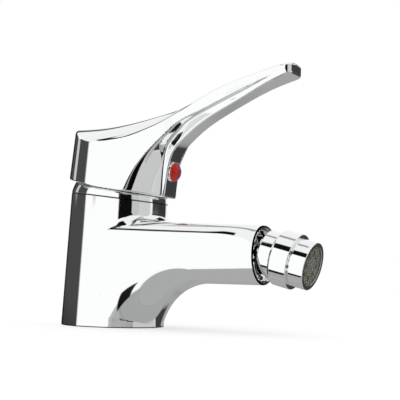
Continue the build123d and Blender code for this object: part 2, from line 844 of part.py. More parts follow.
with BuildPart() as stem_washer:
    with BuildSketch(spout_plane(recess_floor)):
        Circle(stem_flange_radius)
        Circle(stem_thread_radius + fit_gap, mode=Mode.SUBTRACT)
    extrude(amount=stem_washer_height)
stem_washer.part.label = "stem_washer"
export_step(stem_washer.part, "parts/stem_washer.step")

# Ball liner: a low-friction ring between the ball and its socket
socket_sphere_radius = ball_radius + liner_wall + running_gap * 2


def zone_edge(radius):
    """Distance along the ring's edge plane to a ball surface of a radius."""
    return sqrt(radius**2 - liner_half_width**2)


with BuildPart() as ball_liner:
    with BuildSketch(spout_side):
        with BuildLine():
            inner = ball_radius + running_gap
            outer = inner + liner_wall
            inner_back = (ball_x - liner_half_width, zone_edge(inner))
            inner_front = (ball_x + liner_half_width, zone_edge(inner))
            outer_back = (ball_x - liner_half_width, zone_edge(outer))
            outer_front = (ball_x + liner_half_width, zone_edge(outer))
            ThreePointArc(inner_back, (ball_x, inner), inner_front)
            Line(inner_front, outer_front)
            ThreePointArc(outer_front, (ball_x, outer), outer_back)
            Line(outer_back, inner_back)
        make_face()
    revolve(axis=stem_line)
ball_liner.part.label = "ball_liner"
export_step(ball_liner.part, "parts/ball_liner.step")

# Swivel socket: it turns on the ball, and is open behind for the ball's neck
nozzle_line = Axis(origin=ball_centre, direction=nozzle_axis)
mouth_arc_start = sqrt(socket_sphere_radius**2 - socket_back**2)
mid_turn = (asin(-socket_back / socket_sphere_radius)) / 2

with BuildPart() as swivel_socket:
    with BuildSketch(nozzle_side):
        with BuildLine():
            ThreePointArc(
                (socket_back, mouth_arc_start),
                (-socket_sphere_radius * sin(mid_turn), socket_sphere_radius * cos(mid_turn)),
                (0, socket_sphere_radius),
            )
            Polyline(
                (0, socket_sphere_radius),
                (retainer_back, socket_sphere_radius),
                (retainer_back, socket_bore_radius),
                (socket_thread_end, socket_bore_radius),
                (socket_thread_end, socket_radius),
                (socket_back + socket_back_chamfer, socket_radius),
                (socket_back, socket_radius - socket_back_chamfer),
                (socket_back, mouth_arc_start),
            )
        make_face()
    revolve(axis=nozzle_line)
swivel_socket.part.label = "swivel_socket"
export_step(swivel_socket.part, "parts/swivel_socket.step")

# Ball seal: a rubber ring that rides with the nozzle and touches the front of the ball
seal_distance = ball_radius + running_gap + ball_seal_wire
seal_along = retainer_groove_front - ball_seal_wire - seat_gap
seal_out = sqrt(seal_distance**2 - seal_along**2)
with BuildPart() as ball_seal:
    with BuildSketch(nozzle_side):
        with Locations((seal_along, seal_out)):
            Circle(ball_seal_wire)
    revolve(axis=nozzle_line)
ball_seal.part.label = "ball_seal"
export_step(ball_seal.part, "parts/ball_seal.step")

# Ball retainer: a ring in the socket that holds the seal against the ball
groove_radius = seal_out + ball_seal_wire + seat_gap
retainer_front = socket_thread_end - seat_gap
with BuildPart() as ball_retainer:
    with BuildSketch(nozzle_side):
        with BuildLine():
            Polyline(
                (retainer_back + seat_gap, groove_radius),
                (retainer_groove_front, groove_radius),
                (retainer_groove_front, retainer_opening_radius),
                (retainer_front, retainer_opening_radius),
                (retainer_front, socket_bore_radius - running_gap),
                (retainer_back + seat_gap, socket_bore_radius - running_gap),
                close=True,
            )
        make_face()
    revolve(axis=nozzle_line)
ball_retainer.part.label = "ball_retainer"
export_step(ball_retainer.part, "parts/ball_retainer.step")

# Collar: the wide ring, screwed on the socket behind and holding the aerator in front
collar_front = collar_back + collar_length
web_back = socket_thread_end + running_gap
web_front = web_back + collar_web
with BuildPart() as collar:
    with BuildSketch(nozzle_side):
        with BuildLine():
            Polyline(
                (collar_back, socket_radius + running_gap),
                (web_back, socket_radius + running_gap),
                (web_back, collar_web_opening),
                (web_front, collar_web_opening),
                (web_front, aerator_thread_radius + running_gap),
                (collar_front, aerator_thread_radius + running_gap),
                (collar_front, collar_ring_radius - shell_edge_bevel),
                (collar_front - shell_edge_bevel, collar_ring_radius),
                (collar_back + collar_ring_chamfer, collar_ring_radius),
                (collar_back, collar_ring_radius - collar_ring_chamfer),
                close=True,
            )
        make_face()
    revolve(axis=nozzle_line)
collar.part.label = "collar"
export_step(collar.part, "parts/collar.step")

with BuildPart() as aerator_washer:
    with BuildSketch(nozzle_plane(web_front + seat_gap)):
        Circle(aerator_thread_radius - running_gap)
        Circle(collar_web_opening + fit_gap, mode=Mode.SUBTRACT)
    extrude(amount=washer_height)
aerator_washer.part.label = "aerator_washer"
export_step(aerator_washer.part, "parts/aerator_washer.step")

# Aerator shell: a short tube with a thread behind and a lip in front
lip_back = shell_front - shell_lip
thread_back = collar_front - aerator_thread_length
with BuildPart() as aerator_shell:
    with BuildSketch(nozzle_side):
        with BuildLine():
            Polyline(
                (thread_back, shell_bore_radius),
                (lip_back, shell_bore_radius),
                (lip_back, shell_lip_radius),
                (shell_front, shell_lip_radius),
                (shell_front, shell_radius - shell_edge_bevel),
                (shell_front - shell_edge_bevel, shell_radius),
                (collar_front + seat_gap, shell_radius),
                (collar_front + seat_gap, aerator_thread_radius),
                (thread_back, aerator_thread_radius),
                close=True,
            )
        make_face()
    revolve(axis=nozzle_line)
aerator_shell.part.label = "aerator_shell"
export_step(aerator_shell.part, "parts/aerator_shell.step")

# Aerator mesh: a thin disc of square holes behind the lip
mesh_disc_radius = shell_bore_radius - running_gap
mesh_front = lip_back - seat_gap
mesh_back = mesh_front - mesh_thickness
hole_reach = int((mesh_disc_radius - mesh_border) / mesh_pitch)
hole_places = []
for row in range(-hole_reach, hole_reach + 1):
    for column in range(-hole_reach, hole_reach + 1):
        corner = Vector(abs(row) * mesh_pitch + mesh_hole / 2, abs(column) * mesh_pitch + mesh_hole / 2)
        if corner.length < mesh_disc_radius - mesh_border:
            hole_places.append((row * mesh_pitch, column * mesh_pitch))
with BuildPart() as aerator_mesh:
    with BuildSketch(nozzle_plane(mesh_back)):
        Circle(mesh_disc_radius)
        with Locations(hole_places):
            Rectangle(mesh_hole, mesh_hole, mode=Mode.SUBTRACT)
    extrude(amount=mesh_thickness)
aerator_mesh.part.label = "aerator_mesh"
export_step(aerator_mesh.part, "parts/aerator_mesh.step")

# Aerator insert: the plastic core, with a ring of channels for the water
insert_front = mesh_back - seat_gap
with BuildPart() as aerator_insert:
    with BuildSketch(nozzle_plane(insert_front)):
        Circle(mesh_disc_radius)
        with PolarLocations(insert_channel_ring, insert_channels):
            Circle(insert_channel_radius, mode=Mode.SUBTRACT)
    extrude(amount=-insert_length)
aerator_insert.part.label = "aerator_insert"
export_step(aerator_insert.part, "parts/aerator_insert.step")
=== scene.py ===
"""Bidet mixer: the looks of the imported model, with its main pieces rebuilt as smooth surfaces."""

from math import asin, cos, pi, radians, sin, sqrt, tan

import bmesh
import bpy
import numpy as np
from mathutils import Matrix, Vector
from mathutils.geometry import delaunay_2d_cdt


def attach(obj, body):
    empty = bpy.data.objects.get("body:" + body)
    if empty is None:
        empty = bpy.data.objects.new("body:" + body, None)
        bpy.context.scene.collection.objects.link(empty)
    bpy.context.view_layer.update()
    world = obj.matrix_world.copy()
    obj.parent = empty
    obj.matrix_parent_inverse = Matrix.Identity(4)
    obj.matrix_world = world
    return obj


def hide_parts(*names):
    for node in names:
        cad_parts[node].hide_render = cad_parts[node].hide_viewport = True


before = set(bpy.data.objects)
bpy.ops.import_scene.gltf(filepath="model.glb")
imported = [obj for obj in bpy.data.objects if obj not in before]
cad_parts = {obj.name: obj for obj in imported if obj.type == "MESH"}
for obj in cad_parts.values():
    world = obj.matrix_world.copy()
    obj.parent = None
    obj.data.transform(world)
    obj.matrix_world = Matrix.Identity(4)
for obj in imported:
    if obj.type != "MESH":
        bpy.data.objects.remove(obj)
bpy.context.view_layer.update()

bl_info = {
    "name": "Bidet mixer",
    "version": (1, 0, 0),
    "blender": (4, 5, 0),
    "location": "View3D > Sidebar > Bidet mixer",
    "description": "Rebuilds the visible pieces of a bidet mixer on its packed model",
    "category": "Object",
}

MM = 0.001

# The tilted cartridge line, the nozzle line and the heights that the pieces share, in millimetres
AXIS_TILT = radians(6.5)
SEAM_CENTRE = np.array((2.0, 0.0, 68.3))
CARTRIDGE_AXIS = np.array((sin(AXIS_TILT), 0.0, cos(AXIS_TILT)))
CARTRIDGE_X = np.array((cos(AXIS_TILT), 0.0, -sin(AXIS_TILT)))
NOZZLE_TILT = radians(14.0)
BALL_CENTRE = np.array((94.2, 0.0, 39.1))
NOZZLE_AXIS = np.array((cos(NOZZLE_TILT), 0.0, -sin(NOZZLE_TILT)))
NOZZLE_UP = np.array((sin(NOZZLE_TILT), 0.0, cos(NOZZLE_TILT)))
SIDEWAYS = np.array((0.0, 1.0, 0.0))

# The body's round part and its spout
BASE_RADIUS = 27.5
SEAM_RADIUS = 26.1
SPOUT_END = 88.8
SPOUT_AXIS_HEIGHT = 39.1
SPOUT_RADIUS = 15.0
SPOUT_TOP_RISE = 1.4
SWOOP_RADIUS = 29.0
FLANK_ANGLE = radians(8.0)
SPOUT_BACK = 4.0

# The corners of the spout's section, and the neck's fillet with the heights and places where it grows
LOW_CORNER_AT_BODY = 25.9
LOW_CORNER_AT_SWOOP = 13.0
HIGH_CORNER_AT_BODY = 7.5
CORNER_AT_END = SPOUT_RADIUS - 0.05
NECK_FILLET = 4.5
LEAST_FILLET = 0.01
FILLET_HEIGHTS = (47, 55)
FILLET_FORWARD = (10, 22)

# What the body's openings have inside, each as (radius, along) from its rim: the joint, the spout's end
# and the base, with the radii that round their rims, and the holes under the base as (x, y, radius, depth)
CHAMBER = (
    (22.5, 0), (22.3, 0.2), (22.3, 4.7), (22.0, 5.0), (20.0, 5.0), (19.8, 4.8), (19.8, -9.0), (17.7, -9.0),
    (17.7, -27.0), (6.0, -27.0),
)
RECESS = (
    (13.6, 0), (13.3, -0.3), (13.3, -7.3), (10.9, -7.3), (10.9, -17.8), (7.5, -18.0), (7.5, -66.3),
)
SEAL_GROOVE = ((24.2, 0), (24.2, -2.2), (21.6, -2.2), (21.6, 0))
JOINT_EDGE = 0.35
SPOUT_END_EDGE = 0.7
BASE_EDGE = 0.5
DECK_HOLES = ((-6.0, 7.0, 4.5, 12.0), (-6.0, -7.0, 4.5, 12.0), (13.0, 0.0, 3.4, 15.0))
HOLE_SEGMENTS = 48
THREAD_PITCH = 1.0
THREAD_DEPTH = 0.3

# Edges that turn more sharply than this stay sharp, and cut edges shorter than this are closed up
SHARP_ANGLE = radians(30)
SHORT_EDGE = 0.08

# How many straight parts make up a rounded edge, and the gap from its arc to the points that support it
ARC_PARTS = 5
SUPPORT_GAP = 0.06

# The dome's outside and its inside, each as (along, radius) from the joint
DOME_SIDE = (
    (0.35, 26.1), (2.2, 25.78), (4.2, 25.2), (5.9, 24.45), (7.4, 23.4), (8.6, 22.1), (9.7, 20.3),
    (10.6, 18.2), (11.2, 16.5),
)
DOME_INSIDE = ((11.4, 15.8), (9.7, 15.8), (7.85, 20.6), (5.1, 22.42), (0.02, 22.42), (0.02, 25.8))
DOME_STEPS = 24

# The index plug along its line and up from the joint, the mesh and the ball stem, in millimetres. Steps
# are the parts of a curve.
PLUG_FOOT = 28.8
PLUG_ABOVE_SEAM = 17.5
PLUG_RADIUS = 5.2
PLUG_RING_LENGTH = 2.8
BUTTON_RADIUS = 4.88
BUTTON_BACK = 1.6
BUTTON_EDGE = 3.5
BUTTON_FRONT = 6.0
CROWN_STEPS = 12
HALF_GAP = 0.01
BUTTON_GAP = 0.02
MESH_RADIUS = 10.0
BALL_RADIUS = 9.4
BALL_STEPS = 24
STEM_NECK = 5.2
STEM_BORE = 3.4
MESH_FROM_BALL = 20.05

# The plating's faint waves and hair scratches and the gap under the part, in millimetres, and the number
# of sides of the floor
WAVE_DEPTH = 0.0012
HAIR_DEPTH = 0.0004
FLOOR_GAP = 0.05
FLOOR_SIDES = 96

# The photograph's camera, in millimetres and degrees
CAMERA_LENS = 97.04
CAMERA_TARGET = (50.93, 0, 67.30)
CAMERA_DISTANCE = 561.08
CAMERA_AZIMUTH = radians(27.84)
CAMERA_ELEVATION = radians(-3.98)
CAMERA_ROLL = radians(1.65)

# What the chrome sees round it, by direction in degrees, 0 along the spout and 90 to its left. Each has
# the middle and half width of its azimuth, the middle and half height of its elevation, the elevation's
# lean with azimuth, the softness of its edge, and its brightness as a share of what is behind it. Over 1
# it brightens that: the third card is a light in the first one's dark.
CARDS = (
    (170.5, 43.5, 9, 20, 0, 5, 0.07),
    (138.5, 11.5, 11, 18, 0, 7, 0.2),
    (174, 6, 19, 13, 0, 2, 9),
    (-44.5, 15.5, 16.8, 18.2, 0, 2, 0.005),
    (-20, 9, 19, 20, 0, 3, 0.6),
    (4, 15, 17, 18, 0, 4, 0.68),
    (19, 31, -14, 13, 0, 2, 0.64),
    (55.5, 29.5, 7.75, 6.25, 0, 3, 0.05),
    (65.5, 19.5, -1.75, 4.25, 0, 3, 0.05),
    (69, 17, -17, 11, 0, 4, 0.05),
    (150, 64, -14.5, 13.5, 0, 4, 0.4),
    (75, 18, 31, 9, 0, 4, 0.02),
    (-138.5, 26.5, 52, 4.5, -0.3, 2, 0.005),
    (-103.5, 8.5, 47.5, 10, 0, 2, 0.005),
    (-143, 14, -43.5, 3, 0, 1, 0.01),
    (-104, 42, -5, 43, 0, 8, 1.12),
    (-120.5, 4.6, 7.6, 2, 0, 0.7, 0.72),
    (-40, 28, -14.25, 13.75, 0, 2, 0.48),
    (-29.5, 16.5, -12.8, 9.2, 0, 2, 0.005),
    (76, 138, -38.5, 11.5, 0, 5, 0.42),
    (-68.5, 9.5, -31.5, 7.5, 0, 2, 0.01),
    (0, 185, -71.7, 22.3, 0, 3, 0.45),
)


# Curves and fields


def spline(xs, ys, start_slope=None, end_slope=None):
    """A cubic curve through points, as a function that also gives its slope, straight beyond its ends."""
    xs = np.array(xs, float)
    ys = np.array(ys, float)
    steps = np.diff(xs)
    rises = np.diff(ys) / steps
    count = len(xs)
    system = np.zeros((count, count))
    right = np.zeros(count)
    for i in range(1, count - 1):
        system[i, i - 1] = steps[i]
        system[i, i] = 2 * (steps[i - 1] + steps[i])
        system[i, i + 1] = steps[i - 1]
        right[i] = 3 * (steps[i] * rises[i - 1] + steps[i - 1] * rises[i])
    system[0, 0] = system[-1, -1] = 1
    right[0] = rises[0] if start_slope is None else start_slope
    right[-1] = rises[-1] if end_slope is None else end_slope
    slopes = np.linalg.solve(system, right)

    def curve(x):
        inside = np.clip(x, xs[0], xs[-1])
        i = np.clip(np.searchsorted(xs, inside) - 1, 0, count - 2)
        h = steps[i]
        t = (inside - xs[i]) / h
        a = ys[i]
        b = slopes[i] * h
        d = b + slopes[i + 1] * h - 2 * (ys[i + 1] - ys[i])
        c = ys[i + 1] - a - b - d
        value = a + t * (b + t * (c + t * d))
        slope = (b + t * (2 * c + 3 * t * d)) / h
        return value + (x - inside) * slope, slope

    return curve


def smooth_step(start, end, x):
    """0 before start, 1 after end, and smooth between."""
    t = np.clip((x - start) / (end - start), 0, 1)
    return t * t * (3 - 2 * t)


def both(a, b, radius):
    """The field of what two fields share, with their edge rounded to a radius."""
    deep = np.minimum(np.maximum(a, b), -radius)
    return deep + np.hypot(np.maximum(a + radius, 0), np.maximum(b + radius, 0))


def either(a, b, radius):
    """The field of two fields joined, with a fillet of a radius."""
    return -both(-a, -b, radius)


def surface_net(field, low, high, step):
    """Vertices and quads where a field crosses zero: one vertex in each crossed cell of a grid."""
    axes = [np.arange(a, b + step, step) for a, b in zip(low, high)]
    values = field(axes[0][:, None, None], axes[1][None, :, None], axes[2][None, None, :])
    shape = np.array(values.shape)
    total = np.zeros((*(shape - 1), 3))
    hits = np.zeros(shape - 1)
    crossings = []
    for axis in range(3):
        a = values.take(range(0, shape[axis] - 1), axis)
        b = values.take(range(1, shape[axis]), axis)
        crossed = (a < 0) != (b < 0)
        crossings.append((crossed, a < 0))
        share = np.where(crossed, a / np.where(crossed, a - b, 1), 0)
        u, v = [k for k in range(3) if k != axis]
        for du in (0, 1):
            for dv in (0, 1):
                window = [slice(None)] * 3
                window[u] = slice(du, du + shape[u] - 1)
                window[v] = slice(dv, dv + shape[v] - 1)
                window = tuple(window)
                mask = crossed[window]
                hits += mask
                total[..., axis] += share[window]
                total[..., u] += mask * du
                total[..., v] += mask * dv
    cells = np.argwhere(hits > 0)
    index = np.full(shape - 1, -1)
    index[tuple(cells.T)] = np.arange(len(cells))
    offset = total[tuple(cells.T)] / hits[tuple(cells.T)][:, None]
    vertices = np.array([a[0] for a in axes]) + (cells + offset) * step
    quads = []
    for axis, (crossed, inside) in enumerate(crossings):
        u, v = (axis + 1) % 3, (axis + 2) % 3
        at = np.argwhere(crossed)
        keep = (at[:, u] > 0) & (at[:, v] > 0) & (at[:, u] < shape[u] - 1) & (at[:, v] < shape[v] - 1)
        at = at[keep]
        corners = []
        for du, dv in ((1, 1), (0, 1), (0, 0), (1, 0)):
            cell = at.copy()
            cell[:, u] -= du
            cell[:, v] -= dv
            corners.append(index[tuple(cell.T)])
        quad = np.stack(corners, 1)
        outward = inside[tuple(at.T)]
        quad[~outward] = quad[~outward][:, ::-1]
        quads.append(quad)
    return vertices, np.concatenate(quads)


def gradient(field, points, reach=0.02):
    """The slope of a field at points, by central differences."""
    slope = np.empty_like(points)
    for axis in range(3):
        ahead = points.copy()
        behind = points.copy()
        ahead[:, axis] += reach
        behind[:, axis] -= reach
        slope[:, axis] = (field(*ahead.T) - field(*behind.T)) / (2 * reach)
    return slope


def settle(field, points, rounds=3, longest=0.35):
    """Moves points onto a field's surface."""
    for _ in range(rounds):
        slope = gradient(field, points)
        size = np.maximum((slope**2).sum(1), 0.05)
        move = -(field(*points.T) / size)[:, None] * slope
        length = np.maximum(np.linalg.norm(move, axis=1), 1e-9)
        points = points + move * np.minimum(1, longest / length)[:, None]
    return points


# The body's field


UNDERSIDE_HEIGHT = SPOUT_AXIS_HEIGHT - SPOUT_RADIUS
SWOOP_HEIGHT = UNDERSIDE_HEIGHT - SWOOP_RADIUS
SWOOP_X = BASE_RADIUS + sqrt(SWOOP_RADIUS**2 - SWOOP_HEIGHT**2)


def round_body(x, y, z):
    """Distance from the tapered round body, whose line leans forward."""
    height = z / SEAM_CENTRE[2]
    centre = SEAM_CENTRE[0] * height
    return np.hypot(x - centre, y) - (BASE_RADIUS + (SEAM_RADIUS - BASE_RADIUS) * height)


def spout(x, y, z):
    """Distance from the spout, with its swoop underneath and corners that grow to the round end."""
    height = z / SEAM_CENTRE[2]
    slope = tan(FLANK_ANGLE)
    body_radius = BASE_RADIUS + (SEAM_RADIUS - BASE_RADIUS) * height
    at_body = body_radius / cos(FLANK_ANGLE) - slope * (x - SEAM_CENTRE[0] * height)
    at_end = SPOUT_RADIUS + slope * (SPOUT_END - x)
    share = np.clip(x / SPOUT_END, 0, 1)
    half_width = at_body * (1 - share) + at_end * share
    flank = (np.abs(y) - half_width) * cos(FLANK_ANGLE) + 0 * z
    top = z - (SPOUT_AXIS_HEIGHT + SPOUT_RADIUS + SPOUT_TOP_RISE * (1 - x / SPOUT_END))
    dx = np.minimum(x - SWOOP_X, 0)
    dz = z - SWOOP_HEIGHT
    under = np.where(dz > 0, SWOOP_RADIUS - np.hypot(dx, dz), SWOOP_RADIUS - np.abs(dx))
    turn = np.clip(np.arctan2(np.maximum(dz, 0), -dx) / (pi / 2), 0, 1)
    back = SPOUT_BACK - x
    run = np.clip((x - SWOOP_X) / (SPOUT_END - SWOOP_X), 0, 1)
    low_corner = LOW_CORNER_AT_BODY + (LOW_CORNER_AT_SWOOP - LOW_CORNER_AT_BODY) * turn
    low_corner = low_corner + (CORNER_AT_END - LOW_CORNER_AT_SWOOP) * run
    high_corner = HIGH_CORNER_AT_BODY + (CORNER_AT_END - HIGH_CORNER_AT_BODY) * run**5
    section = np.maximum(both(flank, top, high_corner), both(flank, under, low_corner))
    return np.maximum(section, back)


def body_field(x, y, z):
    """Distance from the body's outer casting, with a fillet round the neck."""
    growth = smooth_step(*FILLET_HEIGHTS, z) * smooth_step(*FILLET_FORWARD, x)
    return either(round_body(x, y, z), spout(x, y, z), LEAST_FILLET + NECK_FILLET * growth)


# The lever's field


LEVER_CROWN = spline(
    (-27, -13, -1, 10, 21, 30, 39.5, 50, 62.5, 74, 85, 93.3, 104),
    (106.2, 106.4, 107.0, 108.4, 110.5, 112.6, 115.1, 119.2, 124.9, 128.8, 131.8, 133.9, 135.8),
)
CROWN_RADIUS = spline((-27, 0, 18, 30, 41, 50, 60, 75, 104), (41, 38.8, 31, 24, 21, 25, 33, 44, 50))
SKIRT_CENTRE = 2.6
LEVER_WIDTH = spline(
    (SKIRT_CENTRE, 8, 14, 20, 26, 31, 36, 42, 48, 54, 60, 75, 90, 104),
    (26.2, 25.7, 24.6, 22.9, 20.4, 17.9, 15.3, 12.1, 9.8, 8.6, 8.1, 7.9, 8.6, 10.2),
    start_slope=0,
)
SKIRT_TOP_RADIUS = 26.2
SKIRT_TOP_HEIGHT = 97.0
SKIRT_LEAN = tan(radians(5.3))
LEAN_ENDS = 38
UNDER_TURN = radians(52)
UNDER_POINTS = (
    (32.2, 62.0), (33.1, 70.0), (34.0, 78.0), (35.0, 84.5), (36.6, 90.6), (39.3, 95.0), (43.8, 99.4),
    (51.0, 105.1), (63.9, 112.6), (78.3, 119.7), (92.3, 125.9), (103.0, 129.6),
)


def turned(x, z):
    """Places along and across a line that follows the lever's underside on the whole."""
    return x * cos(UNDER_TURN) + z * sin(UNDER_TURN), z * cos(UNDER_TURN) - x * sin(UNDER_TURN)


UNDER_ALONG, UNDER_ACROSS = turned(*np.array(UNDER_POINTS).T)
LEVER_UNDER = spline(UNDER_ALONG, UNDER_ACROSS)

# The scoop beside the nose has a convex edge and a crease. Each row has a height, x and y of the edge
# there, and x and y of the crease.
SCOOP = (
    (66, 20.0, 23.1, 31.9, 6.8),
    (72.6, 21.8, 22.5, 31.9, 6.7),
    (79, 23.9, 21.7, 31.9, 6.6),
    (84.5, 26.4, 20.6, 32.0, 6.5),
    (89, 29.1, 19.2, 32.3, 6.4),
    (93.5, 32.1, 17.6, 33.0, 6.3),
    (97.5, 35.2, 16.0, 35.0, 6.2),
    (101, 38.2, 14.1, 38.0, 6.2),
    (104.5, 41.0, 12.0, 41.4, 6.2),
    (107, 43.6, 10.3, 44.2, 6.2),
    (113, 54.0, 8.2, 55.4, 6.2),
    (121, 72.0, 7.6, 73.4, 6.2),
    (134, 103.0, 10.6, 104.0, 10.4),
)
SCOOP_HEIGHTS, *SCOOP_LINES = zip(*SCOOP)
EDGE_X, EDGE_Y, CREASE_X, CREASE_Y = [spline(SCOOP_HEIGHTS, places) for places in SCOOP_LINES]
SCOOP_CORNER = spline((72, 84, 95, 105, 125), (1.7, 1.6, 1.3, 0.8, 0.4), start_slope=0, end_slope=0)
CREASE_FILLET = 1.2

LEVER_REACH = 103.8
TIP_CORNER = 5.5
TOP_EDGE = 1.1
UNDER_EDGE = 0.9
RIM_HEIGHT = 72.8
RIM_SLOPE = radians(8.6)
RIM_BACK_SLOPE = radians(12.5)
RIM_EDGE = 0.5
RIM_EDGE_GROWTH = 0.8
RIM_EDGE_GROWS = (8, 32)
POCKET_RADIUS = SEAM_RADIUS + 0.6
BOSS_RADIUS = 7.4
BOSS_BOTTOM = 12.0
BOSS_FILLET = 1.0
POCKET_EDGE = 0.4


def lever_field(x, y, z):
    """Distance from the lever: the crowned top, the plan, the side outline, two scoops and the pocket."""
    side = np.abs(y)
    crown, crown_slope = LEVER_CROWN(x)
    radius = CROWN_RADIUS(x)[0]
    sag = radius - np.sqrt(np.maximum(radius**2 - side**2, 4.0))
    top = (z - crown + sag) / np.sqrt(1 + crown_slope**2)
    lean = (SKIRT_TOP_HEIGHT - z) * SKIRT_LEAN
    back = np.hypot(x - SKIRT_CENTRE, y) - SKIRT_TOP_RADIUS - lean
    width, width_slope = LEVER_WIDTH(x)
    width = width + lean * (1 - smooth_step(SKIRT_CENTRE, LEAN_ENDS, x))
    flank = (side - width) / np.sqrt(1 + width_slope**2)
    plan = np.where(x < SKIRT_CENTRE, back, flank + 0 * z)
    plan = both(plan, x - LEVER_REACH + 0 * z, TIP_CORNER)

    edge_x, edge_y = EDGE_X(z)[0], EDGE_Y(z)[0]
    crease_x, crease_y = CREASE_X(z)[0], CREASE_Y(z)[0]
    length = np.hypot(crease_x - edge_x, crease_y - edge_y)
    facet = ((x - edge_x) * (edge_y - crease_y) + (side - edge_y) * (crease_x - edge_x)) / length
    cheek = side - crease_y
    plan = both(plan, either(facet, cheek, CREASE_FILLET), SCOOP_CORNER(z)[0])

    along, across = turned(x, z)
    under_line, under_slope = LEVER_UNDER(along)
    under = (under_line - across) / np.sqrt(1 + under_slope**2)
    solid = both(both(plan, under, UNDER_EDGE), top, TOP_EDGE)

    front_rim = (RIM_HEIGHT - (x - SKIRT_CENTRE) * tan(RIM_SLOPE) - z) * cos(RIM_SLOPE)
    back_rim = (RIM_HEIGHT - (x - SKIRT_CENTRE) * tan(RIM_BACK_SLOPE) - z) * cos(RIM_BACK_SLOPE)
    rim_edge = RIM_EDGE + RIM_EDGE_GROWTH * smooth_step(*RIM_EDGE_GROWS, x)
    solid = both(solid, np.maximum(front_rim, back_rim) + 0 * y, rim_edge)

    ahead = x - SEAM_CENTRE[0]
    above = z - SEAM_CENTRE[2]
    forward = ahead * cos(AXIS_TILT) - above * sin(AXIS_TILT)
    up = ahead * sin(AXIS_TILT) + above * cos(AXIS_TILT)
    pocket = POCKET_RADIUS - np.sqrt(forward**2 + y**2 + up**2)
    boss = np.maximum(np.hypot(forward, y) - BOSS_RADIUS, BOSS_BOTTOM - up)
    return both(solid, either(pocket, boss, BOSS_FILLET), POCKET_EDGE)


# Meshes


def new_object(name, data):
    """An object in the scene for a mesh or another kind of data."""
    made = bpy.data.objects.new(name, data)
    bpy.context.scene.collection.objects.link(made)
    return made


def smooth_faces(mesh):
    """Shades all of a mesh smooth."""
    mesh.polygons.foreach_set("use_smooth", [True] * len(mesh.polygons))


def mesh_object(name, vertices, faces):
    """A smooth mesh object from millimetre points."""
    mesh = bpy.data.meshes.new(name)
    mesh.from_pydata((np.array(vertices) * MM).tolist(), [], [list(map(int, f)) for f in faces])
    smooth_faces(mesh)
    mesh.update()
    return new_object(name, mesh)


def ring_frame(axis):
    """Two directions across an axis, sideways first."""
    axis = np.array(axis, float)
    side = np.cross(axis, SIDEWAYS if abs(axis[1]) < 0.9 else (0, 0, 1.0))
    side = side / np.linalg.norm(side)
    return side, np.cross(axis, side)


def rounded_profile(corners):
    """Points along an outline of (along, radius, corner radius), with an arc at each rounded corner."""
    points = []
    count = len(corners)
    for i, (along, radius, corner) in enumerate(corners):
        here = np.array((along, radius), float)
        if corner == 0 or i in (0, count - 1):
            points.append(here)
            continue
        before = np.array(corners[i - 1][:2], float) - here
        after = np.array(corners[i + 1][:2], float) - here
        before, after = before / np.linalg.norm(before), after / np.linalg.norm(after)
        half = np.arccos(np.clip(before @ after, -1, 1)) / 2
        reach = corner / tan(half)
        middle = here + (before + after) / np.linalg.norm(before + after) * corner / sin(half)
        start, end = here + before * reach - middle, here + after * reach - middle
        spread = pi - 2 * half
        points.append(here + before * (reach + SUPPORT_GAP))
        for step in range(ARC_PARTS + 1):
            share = step / ARC_PARTS
            weights = sin((1 - share) * spread) / sin(spread), sin(share * spread) / sin(spread)
            points.append(middle + start * weights[0] + end * weights[1])
        points.append(here + after * (reach + SUPPORT_GAP))
    return points


def turned_mesh(name, corners, centre, axis, segments):
    """A turned piece: an outline from pole to pole or back to its start, swept round an axis."""
    profile = rounded_profile(corners)
    axis = np.array(axis, float)
    side, up = ring_frame(axis)
    vertices, rings, faces = [], [], []
    for along, radius in profile:
        if radius < 1e-6:
            rings.append([len(vertices)] * segments)
            vertices.append(centre + axis * along)
            continue
        rings.append(list(range(len(vertices), len(vertices) + segments)))
        for k in range(segments):
            turn = 2 * pi * k / segments
            vertices.append(centre + axis * along + (side * cos(turn) + up * sin(turn)) * radius)
    pairs = list(zip(rings, rings[1:]))
    if profile[0][1] > 1e-6:
        pairs.append((rings[-1], rings[0]))
    for low, high in pairs:
        for k in range(segments):
            n = (k + 1) % segments
            corner = [low[k], low[n], high[n], high[k]]
            faces.append(list(dict.fromkeys(corner)))
    piece = mesh_object(name, vertices, faces)
    face_outwards(piece)
    return piece


def face_outwards(piece):
    """Turns a closed piece's faces outwards."""
    work = bmesh.new()
    work.from_mesh(piece.data)
    bmesh.ops.recalc_face_normals(work, faces=work.faces)
    work.to_mesh(piece.data)
    work.free()


def open_loop(work, point, normal):
    """The vertices of the open edge that lies in a plane, in order."""
    point, normal = Vector(point), Vector(normal)
    rim = [e for e in work.edges if e.is_boundary]
    edges = [e for e in rim if all(abs((v.co - point).dot(normal)) < 1e-6 for v in e.verts)]
    links = {}
    for edge in edges:
        for v in edge.verts:
            links.setdefault(v, []).append(edge)
    start = next(iter(links))
    loop, edge = [start], links[start][0]
    while True:
        following = edge.other_vert(loop[-1])
        if following is start:
            return loop
        loop.append(following)
        edge = next(e for e in links[following] if e is not edge)


def cut_open(work, point, normal):
    """Cuts a mesh off at a plane and gives the open edge that is left."""
    everything = work.verts[:] + work.edges[:] + work.faces[:]
    point = Vector(point) * MM
    bmesh.ops.bisect_plane(
        work, geom=everything, plane_co=point, plane_no=Vector(normal), clear_outer=True, dist=1e-7
    )
    loop = open_loop(work, point, normal)
    rim = set(loop)
    edges = [e for e in work.edges if e.is_boundary and e.verts[0] in rim]
    short = [e for e in edges if e.calc_length() / MM < SHORT_EDGE]
    bmesh.ops.collapse(work, edges=short, uvs=False)
    return open_loop(work, point, normal)


